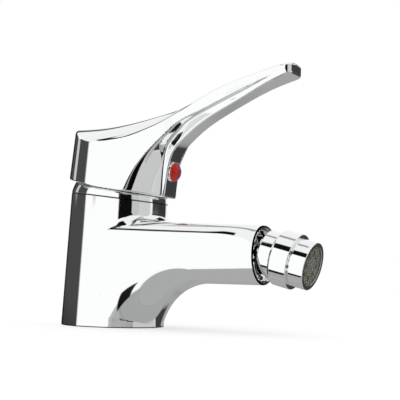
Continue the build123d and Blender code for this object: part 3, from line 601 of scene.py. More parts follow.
def ring_on(work, loop, centre, axis, steps):
    """Carries an open loop on through rings, and gives the last ring.

    Each step is (radius change, radius, along), and on a rounded edge also its turn from straight out.
    """
    layer = work.loops.layers.float_vector["corner_normal"]
    centre, axis = Vector(centre) * MM, Vector(axis)
    outs, radii, alongs = [], [], []
    for v in loop:
        along = (v.co - centre).dot(axis)
        out = v.co - centre - axis * along
        outs.append(out.normalized())
        radii.append(out.length / MM)
        alongs.append(along / MM)
    starts = list(radii)
    turning = (outs[0].cross(outs[1])).dot(axis)
    last_turn = 0
    for change, radius, along, *rounding in steps:
        this_turn = rounding[0] if rounding else 0
        ring, reaches = [], []
        for out, start in zip(outs, starts):
            reach = start + change if radius is None else radius
            reaches.append(reach)
            ring.append(work.verts.new(centre + axis * along * MM + out * reach * MM))
        for k in range(len(loop)):
            n = (k + 1) % len(loop)
            face = work.faces.new((loop[k], loop[n], ring[n], ring[k]))
            turns = (last_turn, last_turn, this_turn, this_turn)
            for corner, which, turn in zip(face.loops, (k, n, n, k), turns):
                if rounding:
                    corner[layer] = outs[which] * cos(turn) + axis * sin(turn)
                    continue
                forward = along - alongs[which]
                widening = reaches[which] - radii[which]
                normal = outs[which] * forward - axis * widening
                corner[layer] = normal.normalized() * (1 if turning > 0 else -1)
        loop, radii, alongs = ring, reaches, [along] * len(ring)
        last_turn = this_turn
    return loop


def face_flat(face, layer):
    """Gives a face one normal all over."""
    face.normal_update()
    for corner in face.loops:
        corner[layer] = face.normal


def close_with_pole(work, loop):
    """Closes a ring with a fan of triangles."""
    layer = work.loops.layers.float_vector["corner_normal"]
    middle = work.verts.new(sum((v.co for v in loop), Vector()) / len(loop))
    for k in range(len(loop)):
        face_flat(work.faces.new((loop[k], loop[(k + 1) % len(loop)], middle)), layer)


def plate_with_holes(work, loop, holes, height):
    """Closes a level ring with a flat plate. Gives the rings of its holes, each (x, y, radius)."""
    layer = work.loops.layers.float_vector["corner_normal"]
    rings = [loop]
    for x, y, radius in holes:
        ring = []
        for k in range(HOLE_SEGMENTS):
            turn = 2 * pi * k / HOLE_SEGMENTS
            place = Vector((x + radius * cos(turn), y + radius * sin(turn), height))
            ring.append(work.verts.new(place * MM))
        rings.append(ring)
    corners = [v for ring in rings for v in ring]
    edges, start = [], 0
    for ring in rings:
        edges += [(start + k, start + (k + 1) % len(ring)) for k in range(len(ring))]
        start += len(ring)
    flat = [Vector((v.co.x, v.co.y)) / MM for v in corners]
    triangles = delaunay_2d_cdt(flat, edges, [], 0, 1e-5)[2]
    for triangle in triangles:
        middle = sum((flat[i] for i in triangle), Vector((0, 0))) / 3
        if any((middle - Vector((x, y))).length < radius * 0.99 for x, y, radius in holes):
            continue
        face_flat(work.faces.new([corners[i] for i in reversed(triangle)]), layer)
    return rings[1:]


def arc_steps(radius):
    """Ring steps that round an outer edge to a radius, from that far behind the end."""
    turns = [radians(90 * k / ARC_PARTS) for k in range(1, ARC_PARTS + 1)]
    return [(-radius * (1 - cos(turn)), None, -radius + radius * sin(turn), turn) for turn in turns]


def finish_piece(name, work, field):
    """Makes an object from a bmesh. Corners with no normal of their own take the field's."""
    mesh = bpy.data.meshes.new(name)
    work.normal_update()
    work.to_mesh(mesh)
    work.free()
    count = len(mesh.loops)
    normals = np.zeros(count * 3)
    mesh.attributes["corner_normal"].data.foreach_get("vector", normals)
    normals = normals.reshape(-1, 3)
    points = np.zeros(len(mesh.vertices) * 3)
    mesh.vertices.foreach_get("co", points)
    vertex_of = np.zeros(count, int)
    mesh.loops.foreach_get("vertex_index", vertex_of)
    slope = gradient(field, points.reshape(-1, 3) / MM)
    slope /= np.maximum(np.linalg.norm(slope, axis=1), 1e-9)[:, None]
    bare = np.linalg.norm(normals, axis=1) < 0.5
    normals[bare] = slope[vertex_of[bare]]
    mesh.attributes.remove(mesh.attributes["corner_normal"])
    smooth_faces(mesh)
    mesh.normals_split_custom_set(normals.tolist())
    mesh.update()
    return new_object(name, mesh)


def net_mesh(field, low, high, step):
    """A bmesh of a field's surface, with a layer for corner normals."""
    vertices, quads = surface_net(field, low, high, step)
    vertices = settle(field, vertices)
    mesh = bpy.data.meshes.new("net")
    mesh.from_pydata((vertices * MM).tolist(), [], quads.tolist())
    work = bmesh.new()
    work.from_mesh(mesh)
    bpy.data.meshes.remove(mesh)
    work.loops.layers.float_vector.new("corner_normal")
    return work


# Pieces


def thread_steps(radius, depth):
    """Ring steps up a threaded hole, ridge by ridge."""
    steps = []
    for turn in range(int(depth / THREAD_PITCH)):
        along = -(turn + 0.5) * THREAD_PITCH
        steps.append((0, radius - THREAD_DEPTH, along + THREAD_PITCH * 0.1))
        steps.append((0, radius - THREAD_DEPTH, along - THREAD_PITCH * 0.1))
        steps.append((0, radius, along - THREAD_PITCH * 0.5))
    return steps


def carve(work, centre, axis, edge, inside):
    """Opens a casting across an axis, rounds the rim and goes in by an outline. Gives the last ring."""
    centre, axis = np.array(centre, float), np.array(axis, float)
    loop = cut_open(work, centre - axis * edge, axis)
    return ring_on(work, loop, centre, axis, arc_steps(edge) + [(0, *point) for point in inside])


def build_body(step):
    """The body: its casting from the field, then the joint, the spout's end and the base by rings."""
    work = net_mesh(body_field, (-31, -31, -2.4), (93, 31, 76), step)
    end = (SPOUT_END, 0, SPOUT_AXIS_HEIGHT)
    close_with_pole(work, carve(work, SEAM_CENTRE, CARTRIDGE_AXIS, JOINT_EDGE, CHAMBER))
    close_with_pole(work, carve(work, end, (1, 0, 0), SPOUT_END_EDGE, RECESS))
    loop = carve(work, (0, 0, 0), (0, 0, -1), BASE_EDGE, SEAL_GROOVE)
    rings = plate_with_holes(work, loop, [hole[:3] for hole in DECK_HOLES], 0)
    for (x, y, radius, depth), ring in zip(DECK_HOLES, rings):
        ring = ring_on(work, ring, (x, y, 0), (0, 0, -1), thread_steps(radius, depth))
        close_with_pole(work, ring)
    return finish_piece("body_casting", work, body_field)


def build_lever(step):
    """The lever from its field, closed by itself."""
    work = net_mesh(lever_field, (-30, -31, 66), (106, 31, 139), step)
    return finish_piece("lever_handle", work, lever_field)


def smooth_chain(points, parts):
    """More points on a curve through given ones."""
    places = np.array(points, float)
    gone = np.concatenate(([0], np.cumsum(np.linalg.norm(np.diff(places, axis=0), axis=1))))
    along, out = spline(gone, places[:, 0]), spline(gone, places[:, 1])
    return [(float(along(t)[0]), float(out(t)[0])) for t in np.linspace(0, gone[-1], parts)]


def sharpen(piece):
    """Keeps a piece's sharp edges sharp."""
    piece.data.set_sharp_from_angle(angle=SHARP_ANGLE)
    return piece


def build_dome(segments):
    """The dome cover: a turned shell with a small bevel at the joint."""
    outline = [(along, radius, 0) for along, radius in (*smooth_chain(DOME_SIDE, DOME_STEPS), *DOME_INSIDE)]
    return sharpen(turned_mesh("dome_shell", outline, SEAM_CENTRE, CARTRIDGE_AXIS, segments))


def build_stem(segments):
    """The ball stem: thread, flange, neck and ball, with its bore."""
    meets_neck = sqrt(BALL_RADIUS**2 - STEM_NECK**2)
    meets_bore = sqrt(BALL_RADIUS**2 - STEM_BORE**2)
    start, end = pi - asin(STEM_NECK / BALL_RADIUS), asin(STEM_BORE / BALL_RADIUS)
    turns = [start + (end - start) * k / BALL_STEPS for k in range(1, BALL_STEPS)]
    ball = [(BALL_RADIUS * cos(turn), BALL_RADIUS * sin(turn), 0) for turn in turns]
    stem = [
        (-20.7, STEM_BORE, 0), (-20.7, 10.8, 0.3), (-11.7, 10.8, 0), (-11.7, 12.4, 0.2), (-10.2, 12.4, 0.3),
        (-10.2, STEM_NECK, 0.4), (-meets_neck, STEM_NECK, 0),
    ]
    outline = stem + ball + [(meets_bore, STEM_BORE, 0)]
    return sharpen(turned_mesh("ball_and_stem", outline, BALL_CENTRE, (1, 0, 0), segments))


def build_nozzle(segments):
    """The three turned rings of the nozzle: the socket, the collar and the aerator's shell."""
    hollow = [(0, 10.3, 0), (-2.0, 10.1, 0), (-4.0, 9.49, 0)]
    socket = [
        (-5.6, 8.65, 0), (-5.6, 10.6, 0.25), (-4.2, 12.0, 0.4), (9.0, 12.0, 0), (9.0, 10.9, 0),
        (5.9, 10.9, 0), (5.9, 10.3, 0),
    ] + hollow
    collar = [
        (9.05, 12.05, 0), (2.2, 12.05, 0), (2.2, 12.7, 0.15), (3.6, 14.1, 0.4), (12.7, 14.1, 0.35),
        (12.7, 11.25, 0), (10.15, 11.25, 0), (10.15, 8.2, 0), (9.05, 8.2, 0),
    ]
    shell = [
        (11.0, 10.3, 0), (20.4, 10.3, 0), (20.4, 9.9, 0), (21.1, 9.9, 0.12), (21.1, 12.1, 0.35),
        (12.72, 12.1, 0.15), (12.72, 11.2, 0), (11.0, 11.2, 0),
    ]
    pieces = []
    for name, corners in (("socket_ring", socket), ("collar_ring", collar), ("aerator_tube", shell)):
        pieces.append(sharpen(turned_mesh(name, corners, BALL_CENTRE, NOZZLE_AXIS, segments)))
    return pieces


def build_plug(segments):
    """The index plug: a ring in the lever's nose, and a domed button in a red half and a blue half."""
    foot = SEAM_CENTRE + CARTRIDGE_X * PLUG_FOOT + CARTRIDGE_AXIS * PLUG_ABOVE_SEAM
    front = PLUG_RING_LENGTH
    ring = [
        (0, 0, 0), (0, PLUG_RADIUS, 0), (front, PLUG_RADIUS, 0.12), (front, BUTTON_RADIUS, 0.05),
        (BUTTON_BACK, BUTTON_RADIUS, 0), (BUTTON_BACK, 0, 0),
    ]
    cap = sharpen(turned_mesh("plug_cap", ring, foot, CARTRIDGE_X, segments))
    rise = BUTTON_FRONT - BUTTON_EDGE
    crown_radius = (BUTTON_RADIUS**2 + rise**2) / (2 * rise)
    reach = asin(BUTTON_RADIUS / crown_radius)
    turns = [reach * (1 - k / CROWN_STEPS) for k in range(1, CROWN_STEPS + 1)]
    crown = [(BUTTON_FRONT - crown_radius * (1 - cos(turn)), crown_radius * sin(turn), 0) for turn in turns]
    back = BUTTON_BACK + BUTTON_GAP
    outline = [(back, 0, 0), (back, BUTTON_RADIUS, 0), (BUTTON_EDGE, BUTTON_RADIUS, 0.2)]
    halves = []
    for name, heading in (("button_red", -1), ("button_blue", 1)):
        button = turned_mesh(name, outline + crown, foot, CARTRIDGE_X, segments)
        halves.append(sharpen(half_of(button, heading)))
    return [cap] + halves


def half_of(piece, heading):
    """Keeps the half of a closed piece that lies to one side, and closes it."""
    work = bmesh.new()
    work.from_mesh(piece.data)
    everything = work.verts[:] + work.edges[:] + work.faces[:]
    at = Vector((0, heading * HALF_GAP * MM, 0))
    away = (0, -heading, 0)
    bmesh.ops.bisect_plane(work, geom=everything, plane_co=at, plane_no=away, clear_outer=True, dist=1e-8)
    rim = [e for e in work.edges if e.is_boundary]
    bmesh.ops.edgeloop_fill(work, edges=rim)
    bmesh.ops.recalc_face_normals(work, faces=work.faces)
    work.to_mesh(piece.data)
    work.free()
    smooth_faces(piece.data)
    return piece


# Nodes


def feed(tree, socket, value):
    """Gives an input a value, or links it to another node's output."""
    if isinstance(value, bpy.types.NodeSocket):
        tree.links.new(value, socket)
    else:
        socket.default_value = value


def add_node(tree, kind, inputs=None, **settings):
    """A node with its settings, and its inputs given as values or as sockets to link."""
    made = tree.nodes.new(kind)
    for key, value in settings.items():
        setattr(made, key, value)
    for slot, value in (inputs or {}).items():
        feed(tree, made.inputs[slot], value)
    return made


def maths(tree, operation, *values):
    """The result of a math node."""
    return add_node(tree, "ShaderNodeMath", dict(enumerate(values)), operation=operation).outputs[0]


# Woven mesh by geometry nodes


WIRE_PARTS = 96
WIRE_SIDES = 6
RIM_SIDES = 8
RIM_SHARE = 1.2


def tube(tree, curve, radius, sides, caps):
    """A curve made into a round tube."""
    profile = add_node(tree, "GeometryNodeCurvePrimitiveCircle", {"Resolution": sides, "Radius": radius})
    inputs = {"Curve": curve, "Profile Curve": profile.outputs[0], "Fill Caps": caps}
    return add_node(tree, "GeometryNodeCurveToMesh", inputs).outputs[0]


def straight_wires(tree, radius, pitch):
    """Parallel straight wires, each as long as a disc is across where it lies."""
    count = maths(tree, "FLOOR", maths(tree, "DIVIDE", radius, pitch))
    first = maths(tree, "MULTIPLY", maths(tree, "MULTIPLY", count, pitch), -1.0)
    inputs = {
        "Count": maths(tree, "MULTIPLY_ADD", count, 2.0, 1.0),
        "Start Location": add_node(tree, "ShaderNodeCombineXYZ", {0: first}).outputs[0],
        "Offset": add_node(tree, "ShaderNodeCombineXYZ", {0: pitch}).outputs[0],
    }
    row = add_node(tree, "GeometryNodeMeshLine", inputs, mode="OFFSET").outputs[0]
    line = add_node(tree, "GeometryNodeCurvePrimitiveLine", {"Start": (0, -1, 0), "End": (0, 1, 0)})
    inputs = {"Curve": line.outputs[0], "Count": WIRE_PARTS}
    wire = add_node(tree, "GeometryNodeResampleCurve", inputs).outputs[0]
    place = add_node(tree, "GeometryNodeInputPosition").outputs[0]
    beside = add_node(tree, "ShaderNodeSeparateXYZ", {0: place}).outputs[0]
    square = maths(tree, "SUBTRACT", maths(tree, "POWER", radius, 2.0), maths(tree, "POWER", beside, 2.0))
    half = maths(tree, "SQRT", maths(tree, "MAXIMUM", square, 1e-9))
    size = add_node(tree, "ShaderNodeCombineXYZ", {0: 1.0, 1: half, 2: 1.0}).outputs[0]
    inputs = {"Points": row, "Instance": wire, "Scale": size}
    spread = add_node(tree, "GeometryNodeInstanceOnPoints", inputs).outputs[0]
    return add_node(tree, "GeometryNodeRealizeInstances", {0: spread}).outputs[0]


def woven_wires(tree, given, way):
    """Parallel wires that wave over and under those of the other way."""
    pitch, thickness = given["Pitch"], given["Wire radius"]
    place = add_node(tree, "GeometryNodeInputPosition").outputs[0]
    here = add_node(tree, "ShaderNodeSeparateXYZ", {0: place}).outputs
    turns = [maths(tree, "MULTIPLY", maths(tree, "DIVIDE", here[k], pitch), pi) for k in (1, 0)]
    height = maths(tree, "MULTIPLY", maths(tree, "COSINE", maths(tree, "ADD", *turns)), thickness)
    lift = maths(tree, "MULTIPLY", height, 1.0 - 2.0 * way)
    offset = add_node(tree, "ShaderNodeCombineXYZ", {2: lift}).outputs[0]
    inputs = {"Geometry": straight_wires(tree, given["Radius"], pitch), "Offset": offset}
    waved = add_node(tree, "GeometryNodeSetPosition", inputs).outputs[0]
    inputs = {"Geometry": tube(tree, waved, thickness, WIRE_SIDES, True), "Rotation": (0, 0, way * pi / 2)}
    return add_node(tree, "GeometryNodeTransform", inputs).outputs[0]


def wire_tree():
    """Geometry nodes for a round woven mesh: waving wires both ways, and a rim."""
    tree = bpy.data.node_groups.new("woven_mesh", "GeometryNodeTree")
    tree.interface.new_socket(name="Geometry", in_out="OUTPUT", socket_type="NodeSocketGeometry")
    for name in ("Radius", "Pitch", "Wire radius"):
        tree.interface.new_socket(name=name, in_out="INPUT", socket_type="NodeSocketFloat")
    tree.interface.new_socket(name="Material", in_out="INPUT", socket_type="NodeSocketMaterial")
    given = add_node(tree, "NodeGroupInput").outputs
    parts = [woven_wires(tree, given, way) for way in (0, 1)]
    inputs = {"Resolution": WIRE_PARTS, "Radius": given["Radius"]}
    rim = add_node(tree, "GeometryNodeCurvePrimitiveCircle", inputs).outputs[0]
    thickness = maths(tree, "MULTIPLY", given["Wire radius"], RIM_SHARE)
    parts.append(tube(tree, rim, thickness, RIM_SIDES, False))
    join = add_node(tree, "GeometryNodeJoinGeometry")
    for part in parts:
        tree.links.new(part, join.inputs[0])
    together = add_node(tree, "GeometryNodeRealizeInstances", {0: join.outputs[0]}).outputs[0]
    inputs = {"Geometry": together, "Material": given["Material"]}
    painted = add_node(tree, "GeometryNodeSetMaterial", inputs).outputs[0]
    add_node(tree, "NodeGroupOutput", {0: painted})
    return tree


def grown_piece(name, tree, values):
    """An object whose mesh a node tree makes from named values, as a plain mesh."""
    holder = new_object(name, bpy.data.meshes.new(name + "_start"))
    modifier = holder.modifiers.new("nodes", "NODES")
    modifier.node_group = tree
    for item in tree.interface.items_tree:
        if item.in_out == "INPUT" and item.name in values:
            modifier[item.identifier] = values[item.name]
    seen = holder.evaluated_get(bpy.context.evaluated_depsgraph_get())
    mesh = bpy.data.meshes.new_from_object(seen)
    holder.modifiers.clear()
    holder.data = mesh
    mesh.name = name
    return holder


def across_nozzle(distance):
    """The turn and place of a plane across the nozzle."""
    turn = Matrix((SIDEWAYS, NOZZLE_UP, NOZZLE_AXIS)).transposed()
    return Matrix.Translation(Vector((BALL_CENTRE + NOZZLE_AXIS * distance) * MM)) @ turn.to_4x4()


def build_mesh(pitch, wire, material):
    """The aerator's woven wire mesh, laid behind the lip."""
    values = {"Radius": MESH_RADIUS * MM, "Pitch": pitch, "Wire radius": wire, "Material": material}
    piece = grown_piece("woven_wire", wire_tree(), values)
    piece.data.transform(across_nozzle(MESH_FROM_BALL))
    smooth_faces(piece.data)
    return piece


# Materials


def remap(tree, value, low, high, start=0.0, end=1.0):
    """A value eased from start to end as it goes from low to high."""
    inputs = {"Value": value, "From Min": low, "From Max": high, "To Min": start, "To Max": end}
    return add_node(tree, "ShaderNodeMapRange", inputs, interpolation_type="SMOOTHSTEP").outputs[0]


def noise(tree, place, size, detail=2.0, roughness=0.5):
    """Noise whose features are about a size in millimetres."""
    inputs = {"Vector": place, "Scale": 1 / (size * MM), "Detail": detail, "Roughness": roughness}
    return add_node(tree, "ShaderNodeTexNoise", inputs).outputs["Fac"]


def object_place(tree):
    """Object coordinates, which are the part's own frame in metres."""
    return add_node(tree, "ShaderNodeTexCoord").outputs["Object"]


def scratches(tree, place, length, width, turn, cover):
    """Thin straight scratches: noise drawn out along one line, and cut off high."""
    stretch = (1 / (length * MM), 1 / (width * MM), 1 / (width * MM))
    inputs = {"Vector": place, "Rotation": turn, "Scale": stretch}
    drawn = add_node(tree, "ShaderNodeMapping", inputs).outputs[0]
    inputs = {"Vector": drawn, "Scale": 1.0, "Detail": 1.0}
    line = add_node(tree, "ShaderNodeTexNoise", inputs).outputs["Fac"]
    return remap(tree, line, 1 - cover, 1 - cover + 0.05)


def mix_colours(tree, share, first, second):
    """A colour between two, by a share."""
    made = add_node(tree, "ShaderNodeMix", data_type="RGBA")
    for slot, value in zip((0, 6, 7), (share, first, second)):
        feed(tree, made.inputs[slot], value)
    return made.outputs[2]


def shaded(colour, share):
    """A colour times a share, as four numbers."""
    return (*[min(1.0, part * share) for part in colour[:3]], 1)


def bump(tree, height, depth, under=None):
    """A bump normal whose height is a depth in millimetres."""
    inputs = {"Height": height, "Distance": depth * MM, "Strength": 1.0}
    if under is not None:
        inputs["Normal"] = under
    return add_node(tree, "ShaderNodeBump", inputs).outputs[0]


def start_material(name):
    """An empty material with its tree and its main shader."""
    material = bpy.data.materials.new(name)
    material.use_nodes = True
    tree = material.node_tree
    return material, tree, tree.nodes["Principled BSDF"]


def join_shader(tree, shader, **inputs):
    """Sets or links inputs of a shader, named with spaces as underscores."""
    for key, value in inputs.items():
        feed(tree, shader.inputs[key.replace("_", " ")], value)


def chrome_material(name, colour, roughness):
    """Polished plate: wiping marks, dried drops, hair scratches and the faint waves of polished casting."""
    material, tree, shader = start_material(name)
    place = object_place(tree)
    wiped = remap(tree, noise(tree, place, 14, 3, 0.6), 0.42, 0.72)
    cells = {"Vector": place, "Scale": 1 / (5.5 * MM)}
    dots = add_node(tree, "ShaderNodeTexVoronoi", cells).outputs["Distance"]
    sparse = remap(tree, noise(tree, place, 20, 1), 0.55, 0.7)
    drops = maths(tree, "MULTIPLY", remap(tree, dots, 0.16, 0.08), sparse)
    fine = scratches(tree, place, 22, 0.09, (0.3, 0.5, 1.1), 0.33)
    crossed = scratches(tree, place, 16, 0.07, (1.2, 0.2, -0.6), 0.31)
    hairs = maths(tree, "MAXIMUM", fine, crossed)
    rough = maths(tree, "MULTIPLY_ADD", wiped, 0.025, roughness)
    rough = maths(tree, "MULTIPLY_ADD", drops, 0.06, rough)
    rough = maths(tree, "MULTIPLY_ADD", hairs, 0.05, rough)
    tint = mix_colours(tree, maths(tree, "MULTIPLY", drops, 0.35), (*colour, 1), shaded(colour, 0.88))
    waves = bump(tree, noise(tree, place, 7, 1), WAVE_DEPTH)
    cut = bump(tree, maths(tree, "SUBTRACT", 1.0, hairs), HAIR_DEPTH, waves)
    join_shader(tree, shader, Base_Color=tint, Metallic=1.0, Roughness=rough, Normal=cut)
    return material


def enamel_material(name, colour):
    """Gloss filling: a clear coat over a colour that is a little uneven."""
    material, tree, shader = start_material(name)
    place = object_place(tree)
    uneven = noise(tree, place, 1.6, 3)
    specks = remap(tree, noise(tree, place, 0.25, 1), 0.66, 0.74)
    tint = mix_colours(tree, remap(tree, uneven, 0.3, 0.7), (*colour, 1), shaded(colour, 0.8))
    rough = maths(tree, "MULTIPLY_ADD", specks, 0.25, 0.3)
    waves = bump(tree, noise(tree, place, 0.9, 2), 0.004)
    join_shader(tree, shader, Base_Color=tint, Roughness=rough, Normal=waves, Specular_IOR_Level=0.3)
    join_shader(tree, shader, Coat_Weight=0.25, Coat_Roughness=0.06)
    return material


def turned_metal(name, colour, roughness):
    """Bare machined metal: fine tool marks, a dull film and darker spots."""
    material, tree, shader = start_material(name)
    place = object_place(tree)
    marks = noise(tree, place, 0.12, 2, 0.7)
    film = remap(tree, noise(tree, place, 6, 4, 0.6), 0.4, 0.65)
    spots = remap(tree, noise(tree, place, 1.1, 2), 0.66, 0.74)
    tint = mix_colours(tree, maths(tree, "MULTIPLY", film, 0.5), (*colour, 1), shaded(colour, 0.78))
    tint = mix_colours(tree, maths(tree, "MULTIPLY", spots, 0.6), tint, shaded(colour, 0.5))
    rough = maths(tree, "MULTIPLY_ADD", film, 0.14, roughness)
    rough = maths(tree, "MULTIPLY_ADD", marks, 0.1, rough)
    cut = bump(tree, marks, 0.004)
    join_shader(tree, shader, Base_Color=tint, Metallic=1.0, Roughness=rough, Normal=cut)
    return material


def wire_material(name, colour):
    """Stainless wire with a thin crust of lime where water has dried."""
    material, tree, shader = start_material(name)
    place = object_place(tree)
    crust = remap(tree, noise(tree, place, 2.2, 4, 0.65), 0.45, 0.62)
    grain = noise(tree, place, 0.2, 2)
    tint = mix_colours(tree, crust, (*colour, 1), (0.2, 0.19, 0.14, 1))
    metal = maths(tree, "SUBTRACT", 1.0, maths(tree, "MULTIPLY", crust, 0.75))
    rough = maths(tree, "MULTIPLY_ADD", crust, 0.35, 0.35)
    dents = bump(tree, grain, 0.01)
    join_shader(tree, shader, Base_Color=tint, Metallic=metal, Roughness=rough, Normal=dents)
    return material


def rubber_material(name, colour):
    """Moulded rubber: matt, grained, with a trace of grey bloom."""
    material, tree, shader = start_material(name)
    place = object_place(tree)
    bloom = remap(tree, noise(tree, place, 4, 4, 0.6), 0.48, 0.7)
    grain = noise(tree, place, 0.18, 2)
    tint = mix_colours(tree, maths(tree, "MULTIPLY", bloom, 0.5), (*colour, 1), (0.07, 0.07, 0.07, 1))
    rough = maths(tree, "MULTIPLY_ADD", bloom, 0.2, 0.55)
    join_shader(tree, shader, Base_Color=tint, Roughness=rough, Normal=bump(tree, grain, 0.012))
    return material


def moulded_material(name, colour, roughness, grain_depth):
    """Moulded plastic or lapped ceramic: uneven gloss, a faint stain and a fine grain."""
    material, tree, shader = start_material(name)
    place = object_place(tree)
    stain = remap(tree, noise(tree, place, 7, 4, 0.6), 0.5, 0.75)
    grain = noise(tree, place, 0.35, 2)
    worn = (colour[0] * 0.93, colour[1] * 0.9, colour[2] * 0.82, 1)
    tint = mix_colours(tree, maths(tree, "MULTIPLY", stain, 0.7), (*colour, 1), worn)
    rough = maths(tree, "MULTIPLY_ADD", grain, 0.12, roughness)
    scuffs = scratches(tree, place, 6, 0.1, (0.4, 1.0, 0.2), 0.34)
    rough = maths(tree, "MULTIPLY_ADD", scuffs, 0.1, rough)
    join_shader(tree, shader, Base_Color=tint, Roughness=rough, Normal=bump(tree, grain, grain_depth))
    return material


def finish(slot):
    """The material of one of the record's slots, made the first time that it is asked for."""
    name = "finish_" + slot
    if name in bpy.data.materials:
        return bpy.data.materials[name]
    colours = bpy.context.scene.mixer_colours
    makers = {
        "chrome": (chrome_material, colours.chrome_roughness),
        "plug_chrome": (chrome_material, colours.chrome_roughness + 0.05),
        "red_enamel": (enamel_material,),
        "blue_enamel": (enamel_material,),
        "brass": (turned_metal, 0.24),
        "stainless": (turned_metal, 0.24),
        "wire_mesh": (wire_material,),
        "black_rubber": (rubber_material,),
        "disc_ceramic": (moulded_material, 0.12, 0.002),
        "cartridge_plastic": (moulded_material, 0.4, 0.01),
        "nozzle_plastic": (moulded_material, 0.4, 0.01),
    }
    make, *gloss = makers[slot]
    return make(name, tuple(getattr(colours, slot)), *gloss)


def take_place(piece, node, body, slot):
    """Makes a new piece stand for a node, ride on its body and wear the finish of a slot."""
    piece.data.materials.clear()
    piece.data.materials.append(finish(slot))
    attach(piece, body)
    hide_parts(node)


# Stage


def window(tree, value, half, softness):
    """1 where a value lies within half of 0, with a soft edge."""
    return remap(tree, maths(tree, "ABSOLUTE", value), half - softness / 2, half + softness / 2, 1.0, 0.0)


def studio_world(light_level):
    """White light from every side, with darker and brighter cards that show in the chrome."""
    world = bpy.data.worlds.new("studio")
    world.use_nodes = True
    tree = world.node_tree
    direction = add_node(tree, "ShaderNodeTexCoord").outputs["Generated"]
    height = add_node(tree, "ShaderNodeSeparateXYZ", {0: direction}).outputs[2]
    elevation = maths(tree, "DEGREES", maths(tree, "ARCSINE", height))
    level = light_level
    for centre, half_width, middle, half_height, lean, softness, brightness in CARDS:
        inputs = {"Vector": direction, "Angle": radians(-centre)}
        turned_way = add_node(tree, "ShaderNodeVectorRotate", inputs, rotation_type="Z_AXIS").outputs[0]
        parts = add_node(tree, "ShaderNodeSeparateXYZ", {0: turned_way})
        azimuth = maths(tree, "DEGREES", maths(tree, "ARCTAN2", parts.outputs[1], parts.outputs[0]))
        above = maths(tree, "SUBTRACT", elevation, maths(tree, "MULTIPLY_ADD", azimuth, lean, middle))
        across = window(tree, azimuth, half_width, softness)
        cover = maths(tree, "MULTIPLY", across, window(tree, above, half_height, softness))
        kept = maths(tree, "MULTIPLY_ADD", cover, brightness - 1, 1.0)
        level = maths(tree, "MULTIPLY", level, kept)
    seen = add_node(tree, "ShaderNodeLightPath").outputs["Is Camera Ray"]
    plain = maths(tree, "MULTIPLY", maths(tree, "SUBTRACT", 1.0, seen), level)
    background = tree.nodes["Background"]
    background.inputs["Color"].default_value = (1, 1, 1, 1)
    tree.links.new(maths(tree, "ADD", plain, seen), background.inputs["Strength"])
    return world


def floor_material(colour, glow):
    """A plain pale floor that the camera sees as white."""
    material, tree, shader = start_material("floor")
    grain = noise(tree, object_place(tree), 3, 2)
    seen = add_node(tree, "ShaderNodeLightPath").outputs["Is Camera Ray"]
    rough = maths(tree, "MULTIPLY_ADD", grain, 0.1, 0.8)
    join_shader(tree, shader, Base_Color=(*colour, 1), Roughness=rough, Specular_IOR_Level=0.1)
    shine = maths(tree, "MULTIPLY", seen, glow)
    join_shader(tree, shader, Emission_Color=(1, 1, 1, 1), Emission_Strength=shine)
    return material


def build_floor(radius, colour, glow):
    """A round floor just under the part. The chrome sees the studio's own floor cards in its place."""
    turns = [2 * pi * k / FLOOR_SIDES for k in range(FLOOR_SIDES)]
    rim = [(radius * cos(turn) / MM, radius * sin(turn) / MM, -FLOOR_GAP) for turn in turns]
    floor = mesh_object("floor", rim, [range(FLOOR_SIDES)])
    floor.data.materials.append(floor_material(colour, glow))
    floor.visible_glossy = False


def place_camera():
    """The camera where the photograph was taken from."""
    camera_data = bpy.data.cameras.new("camera")
    camera_data.lens = CAMERA_LENS
    camera_data.sensor_width = 36
    camera_data.clip_start = 0.01
    camera = new_object("camera", camera_data)
    bpy.context.scene.camera = camera
    back = Vector((
        sin(CAMERA_AZIMUTH) * cos(CAMERA_ELEVATION),
        -cos(CAMERA_AZIMUTH) * cos(CAMERA_ELEVATION),
        sin(CAMERA_ELEVATION),
    ))
    right = Vector((cos(CAMERA_AZIMUTH), sin(CAMERA_AZIMUTH), 0))
    up = back.cross(right)
    rolled_right = right * cos(CAMERA_ROLL) + up * sin(CAMERA_ROLL)
    rolled_up = up * cos(CAMERA_ROLL) - right * sin(CAMERA_ROLL)
    turn = Matrix((rolled_right, rolled_up, back)).transposed().to_4x4()
    target = Vector(CAMERA_TARGET) * MM
    camera.matrix_world = Matrix.Translation(target + back * CAMERA_DISTANCE * MM) @ turn


# Add-on


def number_property(name, description, default, low, high, unit="NONE"):
    """A number that a user may change."""
    return bpy.props.FloatProperty(
        name=name, description=description, default=default, min=low, max=high, unit=unit, precision=5
    )


def length_property(name, description, default, low, high):
    """A length in metres that a user may change."""
    return number_property(name, description, default, low, high, "LENGTH")


def colour_property(name, description, default):
    """A colour that a user may change."""
    return bpy.props.FloatVectorProperty(
        name=name, description=description, default=default, min=0, max=1, size=3, subtype="COLOR"
    )


class MixerSizes(bpy.types.PropertyGroup):
    """Sizes of what is rebuilt."""

    surface_step: length_property(
        "Surface step", "Distance between points on the casting and the lever", 0.0006, 0.0004, 0.002
    )
    mesh_pitch: length_property("Mesh pitch", "Distance between the mesh's wires", 0.00125, 0.0008, 0.002)
    mesh_wire: length_property("Mesh wire", "Radius of one of the mesh's wires", 0.00017, 0.0001, 0.00022)
    segments: bpy.props.IntProperty(
        name="Segments", description="Faces round each turned piece", default=160, min=48, max=256
    )


